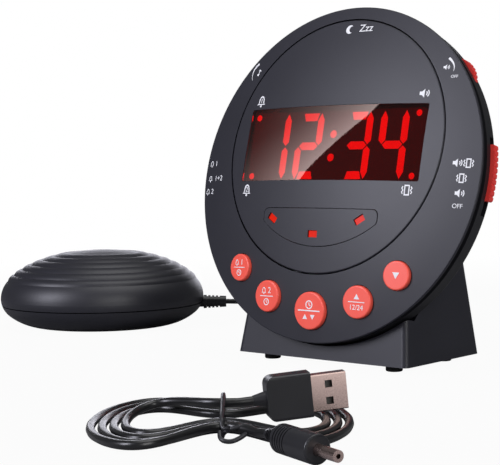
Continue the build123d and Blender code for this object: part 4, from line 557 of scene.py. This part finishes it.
@dataclass
class PowerCord:
    """Power cord tied in a hank, with a USB plug at one end and a barrel plug at the other."""

    diameter: float = 2.9
    centre: Point = (53.5, -143.9)
    heading: float = 40.77
    half_length: float = 30.0
    half_depth: float = 38.0
    waist: float = 3.0
    waist_reach: float = 22.5
    waist_step: float = 1.4
    step_long: float = 3.6
    step_deep: float = 4.8
    tie_lift: float = 1.1
    turns: float = 3.5
    first: float = -0.03
    rise: float = 4.6
    first_rise: float = 1.7
    rise_turn: float = 0.3
    steps: int = 168
    usb_root: tuple[float, float, float] = (9.4, 3.4, 7.6)
    usb_heading: float = 10.0
    usb_pitch: float = 5.0
    barrel_root: tuple[float, float, float] = (13.7, -34.3, 4.4)
    barrel_heading: float = -60.0
    lead_share: float = 1 / 3
    length: float = 915.0

    def place(self) -> Matrix:
        """Frame of the hank on the table.

        Returns:
            Matrix from the hank's own millimetres to the scene's.
        """
        return Matrix.Translation((*self.centre, 0)) @ Matrix.Rotation(math.radians(self.heading), 4, "Z")

    def hank_point(self, turn: float) -> Vector:
        """Point of the flat hank in its own frame.

        Args:
            turn: Turns from its start.

        Returns:
            The point.
        """
        step = self.turns - turn
        angle = -math.pi / 2 - 2 * math.pi * turn
        x = (self.half_length + step * self.step_long) * math.cos(angle)
        drawn = math.exp(-((x / (self.waist_reach - self.waist_step * step)) ** 2))
        deep = self.half_depth * (1 - drawn) + self.waist * drawn + step * self.step_deep
        rise = self.rise * ease(1 - step / self.rise_turn)
        rise += self.first_rise * ease(1 - (turn - self.first) / self.rise_turn)
        return Vector((x, deep * math.sin(angle), self.diameter / 2 + self.tie_lift * drawn + rise))

    def barrel_way(self) -> Vector:
        """Direction that the barrel plug points in, in the hank's frame.

        Returns:
            The unit direction.
        """
        turn = math.radians(self.barrel_heading)
        return Vector((math.cos(turn), math.sin(turn), 0))

    def build(self, material: bpy.types.Material, tie_material: bpy.types.Material) -> None:
        """Args:
            material: Finish of the cord.
            tie_material: Finish of the tie round it.
        """
        hank, into, out = wound(self.hank_point, self.first, self.turns, self.steps, self.diameter)
        turn, pitch = math.radians(self.usb_heading), math.radians(self.usb_pitch)
        usb_way = Vector((math.cos(turn) * math.cos(pitch), math.sin(turn) * math.cos(pitch),
                          math.sin(pitch)))
        barrel, usb = Vector(self.barrel_root), Vector(self.usb_root)
        near, far = (gap.length * self.lead_share for gap in (barrel - hank[0], usb - hank[-1]))
        route = [barrel, barrel - self.barrel_way() * near, hank[0] - into * near, *hank,
                 hank[-1] + out * far, usb - usb_way * far, usb]
        place = self.place()
        piece = Cord("power_cord", self.diameter, [place @ p for p in route]).build(material)
        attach(piece, "clock")
        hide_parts("power_cord_hank", "power_cord_usb_tail", "power_cord_dc_tail")
        tie = TwistTie().build(place, tie_material)
        LOG.info("power_cord: %d control points", len(route))


@dataclass
class TwistTie:
    """Coated wire round the waist of the hank, its ends bent into a loop on the near side."""

    radius: float = 0.72
    step: float = 0.8
    sides: int = 12
    route: tuple[tuple[float, float, float], ...] = (
        (2.2, -24.6, 4.4), (0.8, -23.4, 3.6), (0.0, -22.6, 4.4), (0.0, -21.8, 6.6), (0.0, -12.0, 7.9),
        (0.0, 0.6, 9.7), (0.0, 5.4, 9.7), (0.0, 13.0, 7.0), (0.0, 20.0, 5.2), (0.0, 20.4, 0.9),
        (0.0, 10.0, 0.8), (0.0, -10.0, 0.8), (0.0, -21.6, 0.8), (0.4, -23.2, 2.6), (2.4, -24.2, 4.0),
        (8.6, -25.2, 5.4), (9.4, -26.2, 4.4), (4.0, -28.0, 0.9), (0.4, -27.6, 0.9), (-0.8, -25.4, 2.0),
        (-0.6, -24.0, 3.2))

    def group(self, material: bpy.types.Material) -> tuple[bpy.types.NodeTree, dict[str, str]]:
        """Node group that lays a round wire along a curve.

        Args:
            material: Finish of the wire.

        Returns:
            The group, and the identifiers of its inputs by name.
        """
        tree = bpy.data.node_groups.new("wire_along_path", "GeometryNodeTree")
        tree.interface.new_socket("Geometry", in_out="OUTPUT", socket_type="NodeSocketGeometry")
        tree.interface.new_socket("Geometry", in_out="INPUT", socket_type="NodeSocketGeometry")
        named = {}
        kinds = {"Wire Radius": "NodeSocketFloat", "Step": "NodeSocketFloat", "Sides": "NodeSocketInt"}
        for name, kind in kinds.items():
            named[name] = tree.interface.new_socket(name, in_out="INPUT", socket_type=kind).identifier
        entry = add_node(tree, "NodeGroupInput")
        path = add_node(tree, "GeometryNodeResampleCurve", {"mode": "LENGTH"},
                        {"Curve": entry.outputs["Geometry"], "Length": entry.outputs["Step"]})
        ring = add_node(tree, "GeometryNodeCurvePrimitiveCircle",
                        links={"Resolution": entry.outputs["Sides"],
                               "Radius": entry.outputs["Wire Radius"]})
        wire = add_node(tree, "GeometryNodeCurveToMesh", {"Fill Caps": True},
                        {"Curve": path.outputs["Curve"], "Profile Curve": ring.outputs["Curve"]})
        smooth = add_node(tree, "GeometryNodeSetShadeSmooth", links={"Geometry": wire.outputs["Mesh"]})
        real = add_node(tree, "GeometryNodeRealizeInstances",
                        links={"Geometry": smooth.outputs["Geometry"]})
        paint = add_node(tree, "GeometryNodeSetMaterial", {"Material": material},
                         {"Geometry": real.outputs["Geometry"]})
        add_node(tree, "NodeGroupOutput", links={"Geometry": paint.outputs["Geometry"]})
        return tree, named

    def build(self, place: Matrix, material: bpy.types.Material) -> bpy.types.Object:
        """Make the tie as a plain mesh and let it stand for the CAD strip.

        Args:
            place: Frame of the hank, in millimetres.
            material: Finish of the wire.

        Returns:
            The tie.
        """
        spots = [place @ Vector(spot) for spot in self.route]
        path = link_object("tie_path", open_spline("tie_path", spots))
        tree, named = self.group(material)
        modifier = path.modifiers.new("wire", "NODES")
        modifier.node_group = tree
        sizes = {"Wire Radius": self.radius * MM, "Step": self.step * MM, "Sides": self.sides}
        for name, value in sizes.items():
            modifier[named[name]] = value
        piece = link_object("power_cord_wire_tie", plain_mesh(path, "power_cord_wire_tie"))
        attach(piece, "clock")
        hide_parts("power_cord_tie")
        LOG.info("power_cord_wire_tie: %d faces", len(piece.data.polygons))
        return piece


# Printed marks

Group = list[Loop]
Glyph = list[Group]


def circle(x: float, y: float, radius: float, count: int = 20) -> Loop:
    """Closed ring of points.

    Args:
        x: Middle, across.
        y: Middle, up.
        radius: Radius.
        count: Number of points.

    Returns:
        The loop.
    """
    return arc(x, y, radius, 0.0, 360.0 * (count - 1) / count, count)


def arc(x: float, y: float, radius: float, start: float, end: float, count: int = 9) -> Loop:
    """Points along an arc.

    Args:
        x: Middle, across.
        y: Middle, up.
        radius: Radius.
        start: First angle in degrees.
        end: Last angle in degrees.
        count: Number of points.

    Returns:
        The points.
    """
    turns = [math.radians(start + (end - start) * i / (count - 1)) for i in range(count)]
    return [(x + radius * math.cos(t), y + radius * math.sin(t)) for t in turns]


def stroke(points: Loop, widths: float | Sequence[float]) -> Loop:
    """Outline of a line drawn through points.

    Args:
        points: Points of the line.
        widths: One width, or one for each point.

    Returns:
        The closed outline.
    """
    wide = [widths] * len(points) if isinstance(widths, float) else list(widths)
    left, right = [], []
    for i, (x, y) in enumerate(points):
        before, after = points[max(i - 1, 0)], points[min(i + 1, len(points) - 1)]
        dx, dy = after[0] - before[0], after[1] - before[1]
        size = math.hypot(dx, dy)
        nx, ny = -dy / size * wide[i] / 2, dx / size * wide[i] / 2
        left.append((x + nx, y + ny))
        right.append((x - nx, y - ny))
    return left + right[::-1]


def mirrored(points: Loop) -> Loop:
    """Points on the other side of the upright axis.

    Args:
        points: Points to mirror.

    Returns:
        The mirrored points.
    """
    return [(-x, y) for x, y in points]


BELL_SIDE: Loop = [(0.42, -0.32), (0.3, -0.2), (0.27, 0.1), (0.18, 0.32), (0.0, 0.42)]
BELL_EDGE = BELL_SIDE + mirrored(BELL_SIDE)[-2::-1]
SPEAKER_BODY: Loop = [(-0.5, -0.17), (-0.27, -0.17), (0.0, -0.42), (0.0, 0.42), (-0.27, 0.17), (-0.5, 0.17)]
BUZZ_LINE: Loop = [(0.38, 0.32), (0.48, 0.16), (0.35, 0.0), (0.48, -0.16), (0.38, -0.32)]


# Widths of a pictogram's lines and of its clock's hands
LINE = 0.1
HAND = 0.11


class Icon(Enum):
    """Pictograms one unit high, each a list of filled groups of loops."""

    BELL = [[BELL_EDGE, [(x * 0.68, y * 0.74 - 0.01) for x, y in BELL_EDGE]],
            [circle(0.0, -0.43, 0.09, 10)]]
    SPEAKER = [[SPEAKER_BODY], [stroke(arc(0.0, 0.0, 0.26, -42, 42), LINE)],
               [stroke(arc(0.0, 0.0, 0.46, -42, 42), LINE)]]
    BUZZ = [[[(-0.25, -0.46), (0.25, -0.46), (0.25, 0.46), (-0.25, 0.46)],
             [(-0.15, -0.34), (0.15, -0.34), (0.15, 0.34), (-0.15, 0.34)]],
            [stroke(BUZZ_LINE, LINE)], [stroke(mirrored(BUZZ_LINE), LINE)]]
    CLOCK = [[circle(0.0, 0.0, 0.5, 28), circle(0.0, 0.0, 0.38, 28)],
             [stroke([(0.0, 0.27), (0.0, -0.05)], HAND)], [stroke([(0.0, 0.0), (0.22, -0.12)], HAND)]]
    NOTE = [[circle(-0.16, -0.32, 0.18, 14)], [stroke([(-0.02, -0.32), (-0.02, 0.5)], LINE)],
            [stroke([(-0.02, 0.44), (0.3, 0.22)], 0.16)]]
    MOON = [[arc(0.0, 0.0, 0.5, 50, 310, 24) + arc(0.3, 0.0, 0.38, 268, 92, 16)]]
    UP = [[[(-0.5, -0.4), (0.5, -0.4), (0.0, 0.45)]]]
    DOWN = [[[(-0.5, 0.4), (0.0, -0.45), (0.5, 0.4)]]]
    RULE = [[[(-0.5, -0.022), (0.5, -0.022), (0.5, 0.022), (-0.5, 0.022)]]]


@dataclass(frozen=True)
class Mark:
    """One printed mark: an icon, numerals or a tapered arc, and where it stands."""

    what: Icon | str | tuple[Point, Point, Point]
    x: float = 0.0
    y: float = 0.0
    size: float = 1.0


@dataclass
class PrintedMarks:
    """White marks on one surface, joined in one thin piece that rides on one body."""

    name: str
    body: str
    surface: Surface
    marks: list[Mark]
    ink: float = 0.06
    lift: float = 0.02
    cap_share: float = 0.7
    steps: int = 12
    taper: float = 0.9

    def outline(self, mark: Mark) -> Glyph:
        """Loops of a mark that isn't text.

        Args:
            mark: The mark.

        Returns:
            Its groups of loops, in place.
        """
        if isinstance(mark.what, Icon):
            return [[[(mark.x + x * mark.size, mark.y + y * mark.size) for x, y in loop] for loop in group]
                    for group in mark.what.value]
        start, middle, end = mark.what
        shares = [i / self.steps for i in range(self.steps + 1)]
        points = [tuple((1 - t) ** 2 * a + 2 * t * (1 - t) * (2 * b - (a + c) / 2) + t**2 * c
                        for a, b, c in zip(start, middle, end)) for t in shares]
        return [[stroke(points, [mark.size * (1.0 - self.taper * t) for t in shares])]]

    def flat(self, mark: Mark) -> list[bpy.types.Mesh]:
        """Flat, thin meshes of a mark, in millimetres.

        Args:
            mark: The mark.

        Returns:
            The meshes.
        """
        made = []
        if isinstance(mark.what, str):
            text = bpy.data.curves.new("text", "FONT")
            text.body = mark.what
            text.size = mark.size / self.cap_share
            text.align_x, text.align_y = "CENTER", "CENTER"
            text.extrude = self.ink
            mesh = plain_mesh(link_object("text", text), "text")
            mesh.transform(Matrix.Translation((mark.x, mark.y, 0)))
            return [mesh]
        for group in self.outline(mark):
            data = bpy.data.curves.new("loops", "CURVE")
            data.dimensions = "2D"
            data.fill_mode = "BOTH"
            data.extrude = self.ink
            for loop in group:
                spline = data.splines.new("POLY")
                spline.points.add(len(loop) - 1)
                for point, (x, y) in zip(spline.points, loop):
                    point.co = (x, y, 0, 1)
                spline.use_cyclic_u = True
            made.append(plain_mesh(link_object("loops", data), "loops"))
        return made

    def build(self, material: bpy.types.Material) -> None:
        """Make the piece and let it ride on its body.

        Args:
            material: Finish of the ink.
        """
        points, faces = [], []
        for mark in self.marks:
            for mesh in self.flat(mark):
                first = len(points)
                points += [self.surface(v.co.x, v.co.y, v.co.z + self.lift) * MM for v in mesh.vertices]
                faces += [[first + i for i in face.vertices] for face in mesh.polygons]
                bpy.data.meshes.remove(mesh)
        mesh = bpy.data.meshes.new(self.name)
        mesh.from_pydata(points, [], faces)
        mesh.materials.append(material)
        piece = link_object(self.name, mesh)
        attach(piece, self.body)
        LOG.info("%s: %d marks", self.name, len(self.marks))


@dataclass
class ClockFace:
    """Printed marks of the domed face and of its buttons."""

    middle: tuple[float, float, float] = (0.0, -22.2, 80.0)
    tilt: float = 13.4
    radius: float = 70.0
    sag: float = 7.0
    button_ring: float = 57.2
    button_proud: float = 1.6
    button_angles: tuple[float, ...] = (226.2, 246.6, 270.2, 293.6, 314.0)

    def dome(self) -> float:
        """Radius of the face's dome.

        Returns:
            The radius.
        """
        return (self.radius**2 + self.sag**2) / (2 * self.sag)

    def world(self, x: float, y: float, z: float) -> Vector:
        """Point of the face's frame in the scene.

        Args:
            x: Across the face.
            y: Up the face.
            z: Out of the face.

        Returns:
            The point, in millimetres.
        """
        turn = math.radians(self.tilt)
        up = Vector((0, math.sin(turn), math.cos(turn)))
        out = Vector((0, -math.cos(turn), math.sin(turn)))
        return Vector(self.middle) + Vector((x, 0, 0)) + up * y + out * z

    def on_dome(self, x: float, y: float, z: float) -> Vector:
        """Point on the domed face.

        Args:
            x: Across the face.
            y: Up the face.
            z: Height above the dome.

        Returns:
            The point, in millimetres.
        """
        ball = self.dome()
        return self.world(x, y, math.sqrt(ball**2 - x * x - y * y) - ball + z)

    def on_button(self, angle: float) -> Surface:
        """Surface of one button's top.

        Args:
            angle: Where the button stands on its ring, in degrees.

        Returns:
            Function from the button's own flat frame to the scene.
        """
        turn, ball = math.radians(angle), self.dome()
        at = (self.button_ring * math.cos(turn), self.button_ring * math.sin(turn))
        root = Vector((*at, math.sqrt(ball**2 - self.button_ring**2) - ball))
        out = Vector((*at, root.z + ball)).normalized()
        across = Vector((out.z, 0, -out.x)).normalized()
        up = out.cross(across)

        def surface(x: float, y: float, z: float) -> Vector:
            """Point on the button's top.

            Args:
                x: Across the button.
                y: Up the button.
                z: Height above its top.

            Returns:
                The point, in millimetres.
            """
            return self.world(*(root + across * x + up * y + out * (z + self.button_proud)))

        return surface

    def build(self, ink: bpy.types.Material) -> None:
        """Print the face and the buttons.

        Args:
            ink: Finish of the marks.
        """
        PrintedMarks("snooze_plate_marks", "snooze_plate", self.on_dome, [
            Mark(Icon.MOON, 0.4, 60.0, 3.8), Mark("Zzz", 8.6, 60.0, 3.2),
            Mark(Icon.BELL, -40.8, 30.8, 5.5), Mark("1", -40.8, 30.8, 2.0),
            Mark(Icon.BELL, -41.1, -8.2, 5.5), Mark("2", -41.1, -8.2, 2.0),
            Mark(Icon.SPEAKER, 42.1, 30.9, 4.2), Mark(Icon.BUZZ, 40.5, -8.0, 4.6)]).build(ink)
        PrintedMarks("front_cover_marks", "clock", self.on_dome, [
            Mark(Icon.BELL, -66.6, 3.9, 3.0), Mark("1", -63.6, 3.9, 2.3),
            Mark(Icon.BELL, -66.2, -2.7, 3.0), Mark("1+2", -60.8, -2.7, 2.3),
            Mark(Icon.BELL, -66.9, -8.5, 3.0), Mark("2", -63.9, -8.5, 2.3),
            Mark(Icon.SPEAKER, 60.2, 3.3, 3.8), Mark(Icon.BUZZ, 64.6, 3.3, 4.0),
            Mark(Icon.BUZZ, 62.5, -2.6, 4.0), Mark(Icon.SPEAKER, 62.4, -8.4, 3.8),
            Mark("OFF", 62.0, -13.4, 1.7), Mark(((49.7, 45.4), (52.2, 42.7), (52.5, 39.9)), size=0.95),
            Mark(Icon.SPEAKER, 49.4, 41.6, 2.6), Mark("OFF", 53.4, 37.7, 1.2),
            Mark(((-47.6, 48.3), (-50.3, 45.3), (-50.0, 41.0)), size=0.95),
            Mark(Icon.NOTE, -46.4, 44.1, 3.0)]).build(ink)
        captions = {
            "alarm_1_button": [Mark(Icon.BELL, -1.4, 2.1, 2.9), Mark("1", 1.5, 2.1, 2.3),
                               Mark(Icon.RULE, 0, 0, 6.6), Mark(Icon.CLOCK, 0, -2.2, 2.7)],
            "alarm_2_button": [Mark(Icon.BELL, -1.5, 2.3, 3.1), Mark("2", 1.6, 2.3, 2.5),
                               Mark(Icon.RULE, 0, 0, 7.2), Mark(Icon.CLOCK, 0, -2.4, 2.9)],
            "time_button": [Mark(Icon.CLOCK, 0, 2.4, 3.5), Mark(Icon.RULE, 0, 0, 11.0),
                            Mark(Icon.UP, -1.9, -2.5, 2.3), Mark(Icon.DOWN, 1.9, -2.5, 2.3)],
            "up_button": [Mark(Icon.UP, 0, 2.1, 2.5), Mark(Icon.RULE, 0, 0, 7.6),
                          Mark("12/24", 0, -2.2, 2.0)],
            "down_button": [Mark(Icon.DOWN, 0, 0, 3.0)],
        }
        for (name, marks), angle in zip(captions.items(), self.button_angles):
            PrintedMarks(f"{name}_marks", name, self.on_button(angle), marks).build(ink)


# Studio

def spared(names: Sequence[str], state: str) -> bpy.types.Collection:
    """Collection that tells a light which pieces it falls on, or which it leaves out.

    Args:
        names: Nodes in the collection.
        state: INCLUDE or EXCLUDE.

    Returns:
        The collection.
    """
    group = bpy.data.collections.new("_".join((state.lower(), *names)))
    for name in names:
        group.objects.link(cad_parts[name])
    for entry in group.collection_objects:
        entry.light_linking.link_state = state
    return group


@dataclass(frozen=True)
class Card:
    """A lit card that only some polished pieces mirror, its corners given as directions from a point."""

    name: str
    at: tuple[float, float, float]
    far: float
    corners: tuple[Point, Point, Point, Point]
    glow: tuple[float, float]
    colour: tuple[float, float, float, float]
    mirrors: tuple[str, ...]
    bend: float = 2.6

    def build(self) -> None:
        """Hang the card, brightest along its first edge."""
        points = []
        for side, rise in self.corners:
            turn, up = math.radians(side), math.radians(rise)
            way = Vector((-math.sin(turn) * math.cos(up), -math.cos(turn) * math.cos(up), math.sin(up)))
            points.append((Vector(self.at) + way * self.far) * MM)
        mesh = bpy.data.meshes.new(self.name)
        mesh.from_pydata(points, [], [(0, 1, 2, 3)])
        shares = mesh.uv_layers.new(name="across")
        for corner, share in zip(shares.data, ((1, 0), (1, 1), (0, 1), (0, 0))):
            corner.uv = share
        material, tree = blank_material(f"card_white_lit_{self.name}")
        place = add_node(tree, "ShaderNodeTexCoord").outputs["UV"]
        across = add_node(tree, "ShaderNodeSeparateXYZ", links={0: place})
        curve = add_node(tree, "ShaderNodeMath", {"operation": "POWER", 1: self.bend},
                         {0: across.outputs["X"]})
        light = add_node(tree, "ShaderNodeEmission", {"Color": self.colour},
                         {"Strength": between(tree, *self.glow, curve.outputs[0])})
        show(tree, light)
        mesh.materials.append(material)
        piece = link_object(self.name, mesh)
        piece.visible_camera = piece.visible_diffuse = False
        piece.visible_shadow = piece.visible_transmission = False
        piece.light_linking.receiver_collection = spared(self.mirrors, "INCLUDE")


# Pale wall to the left that the polished window mirrors down to a slanted edge
WINDOW_CARD = Card("window_card", (0.0, -24.0, 91.0), 1000.0,
                   ((28.5, 36.5), (48.6, 13.8), (74.0, 10.0), (74.0, 40.0)),
                   (0.03, 7.4), (1.0, 0.79, 0.76, 1.0), ("display_window",), 3.0)
# Pale wall to the right that the plugs' metal mirrors
PLUG_CARD = Card("plug_card", (80.0, -108.0, 10.0), 120.0,
                 ((-90.0, -4.0), (-90.0, 50.0), (-35.0, 50.0), (-35.0, -4.0)),
                 (1.8, 2.1), (1.0, 0.96, 0.94, 1.0), ("usb_plug_shell", "dc_plug_barrel"))


@dataclass(frozen=True)
class Lamp:
    """A soft box: where it hangs, how high it aims, its watts, its sides, its colour and what it spares."""

    name: str
    place: tuple[float, float, float]
    aim: float
    power: float
    size: Point
    colour: tuple[float, float, float] = (1.0, 1.0, 1.0)
    spares: tuple[str, ...] = ()

    def build(self) -> None:
        """Hang the lamp."""
        data = bpy.data.lights.new(self.name, "AREA")
        data.shape = "RECTANGLE"
        data.size, data.size_y = (side * MM for side in self.size)
        data.energy = self.power
        data.color = self.colour
        piece = link_object(self.name, data)
        place = Vector(self.place)
        piece.location = place * MM
        piece.rotation_euler = (Vector((0, 0, self.aim)) - place).to_track_quat("-Z", "Y").to_euler()
        if self.spares:
            piece.light_linking.receiver_collection = spared(self.spares, "EXCLUDE")


# Soft boxes in front, above, behind and to the right; the first leaves the window to its card
LAMPS = (Lamp("key", (-640, -1420, 780), 70, 20.0, (520, 900), (0.88, 0.88, 1.0), ("display_window",)),
         Lamp("top", (150, 100, 1500), 0, 10.0, (1200, 1200)),
         Lamp("back", (-1300, 1500, 300), 40, 11.0, (1500, 500), (0.9, 0.9, 1.0)),
         Lamp("right", (1150, -650, 450), 60, 7.5, (700, 900)))


@dataclass
class Studio:
    """White sweep, lamps and the camera at the photo's view."""

    eye: tuple[float, float, float] = (346.41, -469.575, 84.94)
    up: tuple[float, float, float] = (-0.0252, 0.0489, 0.9985)
    back: tuple[float, float, float] = (0.652, -0.7563, 0.0535)
    lens: float = 100.47
    sensor: float = 36.0
    clip: Point = (10.0, 60000.0)
    ambient: float = 0.13
    sky: tuple[float, float, float, float] = (0.97, 0.98, 1.0, 1.0)
    white: tuple[float, float, float, float] = (1.0, 1.0, 1.0, 1.0)
    floor_size: float = 24000.0
    floor_fade: Point = (300.0, 620.0)
    floor_glow: Point = (0.955, 1.0)
    paper: tuple[str, str] = ("#8e8e90", "#969698")
    fibre: float = 3.0

    def camera(self) -> None:
        """Place the camera."""
        data = bpy.data.cameras.new("photo_view")
        data.lens = self.lens
        data.sensor_fit = "HORIZONTAL"
        data.sensor_width = self.sensor
        data.clip_start, data.clip_end = (far * MM for far in self.clip)
        data.dof.use_dof = False
        piece = link_object("photo_view", data)
        back = Vector(self.back).normalized()
        right = Vector(self.up).cross(back).normalized()
        turn = Matrix((right, back.cross(right), back)).transposed().to_4x4()
        piece.matrix_world = Matrix.Translation(Vector(self.eye) * MM) @ turn
        bpy.context.scene.camera = piece

    def world(self) -> None:
        """White backdrop for what sees it, softer light for the rest."""
        world = bpy.data.worlds.new("studio")
        world.use_nodes = True
        tree = world.node_tree
        tree.nodes.clear()
        path = add_node(tree, "ShaderNodeLightPath")
        seen = add_node(tree, "ShaderNodeMath", {"operation": "MAXIMUM"},
                        {0: path.outputs["Is Camera Ray"], 1: path.outputs["Is Transmission Ray"]})
        soft = add_node(tree, "ShaderNodeBackground", {"Color": self.sky, "Strength": self.ambient})
        white = add_node(tree, "ShaderNodeBackground", {"Color": self.white, "Strength": 1.0})
        mixed = add_node(tree, "ShaderNodeMixShader",
                         links={0: seen.outputs[0], 1: soft.outputs[0], 2: white.outputs[0]})
        add_node(tree, "ShaderNodeOutputWorld", links={"Surface": mixed.outputs[0]})
        bpy.context.scene.world = world

    def floor(self) -> None:
        """Lay the white floor, which keeps the object's shadow."""
        half = self.floor_size / 2 * MM
        mesh = bpy.data.meshes.new("floor")
        corners = [(-half, -half, 0), (half, -half, 0), (half, half, 0), (-half, half, 0)]
        mesh.from_pydata(corners, [], [(0, 1, 2, 3)])
        material, tree = blank_material("paper_white_sweep")
        path = add_node(tree, "ShaderNodeLightPath")
        place = add_node(tree, "ShaderNodeTexCoord").outputs["Object"]
        away = add_node(tree, "ShaderNodeVectorMath", {"operation": "LENGTH"}, {0: place})
        near, far = (radius * MM for radius in self.floor_fade)
        fade = between(tree, *self.floor_glow, away.outputs["Value"], (near, far))
        share = add_node(tree, "ShaderNodeMath", {"operation": "MULTIPLY"},
                         {0: path.outputs["Is Camera Ray"], 1: fade})
        tone = two_tone(tree, *self.paper, pattern(tree, self.fibre, detail=2.0))
        paper = add_node(tree, "ShaderNodeBsdfDiffuse", links={"Color": tone})
        white = add_node(tree, "ShaderNodeEmission", {"Color": self.white, "Strength": 1.0})
        mixed = add_node(tree, "ShaderNodeMixShader",
                         links={0: share.outputs[0], 1: paper.outputs[0], 2: white.outputs[0]})
        show(tree, mixed)
        mesh.materials.append(material)
        link_object("floor", mesh)

    def build(self) -> None:
        """Set up the floor, world, lamps and camera."""
        self.floor()
        self.world()
        WINDOW_CARD.build()
        PLUG_CARD.build()
        for lamp in LAMPS:
            lamp.build()
        self.camera()
        bpy.context.scene.view_settings.view_transform = "Standard"
        LOG.info("studio: floor, world, lamps and camera")


def dress() -> dict[str, bpy.types.Material]:
    """Give each CAD node its finish.

    Returns:
        The materials by name.
    """
    made = {}
    for finish, names in DRESS.items():
        material = finish.material()
        made[material.name] = material
        for name in names:
            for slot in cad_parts[name].material_slots:
                slot.material = material
            LOG.info("%s: %s", name, material.name)
    return made


def main() -> None:
    """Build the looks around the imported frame."""
    logging.basicConfig(level=logging.INFO, format="%(message)s")
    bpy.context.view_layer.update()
    made = dress()
    cord, ink = CORD_PVC.material(), WHITE_INK.material()
    ShakerCord().build(cord)
    PowerCord().build(cord, made[PLUG_PVC.name])
    ClockFace().build(ink)
    Studio().build()
    LOG.info("%d finishes", len({*made.values(), cord, ink}))


if __name__ == "__main__":
    main()
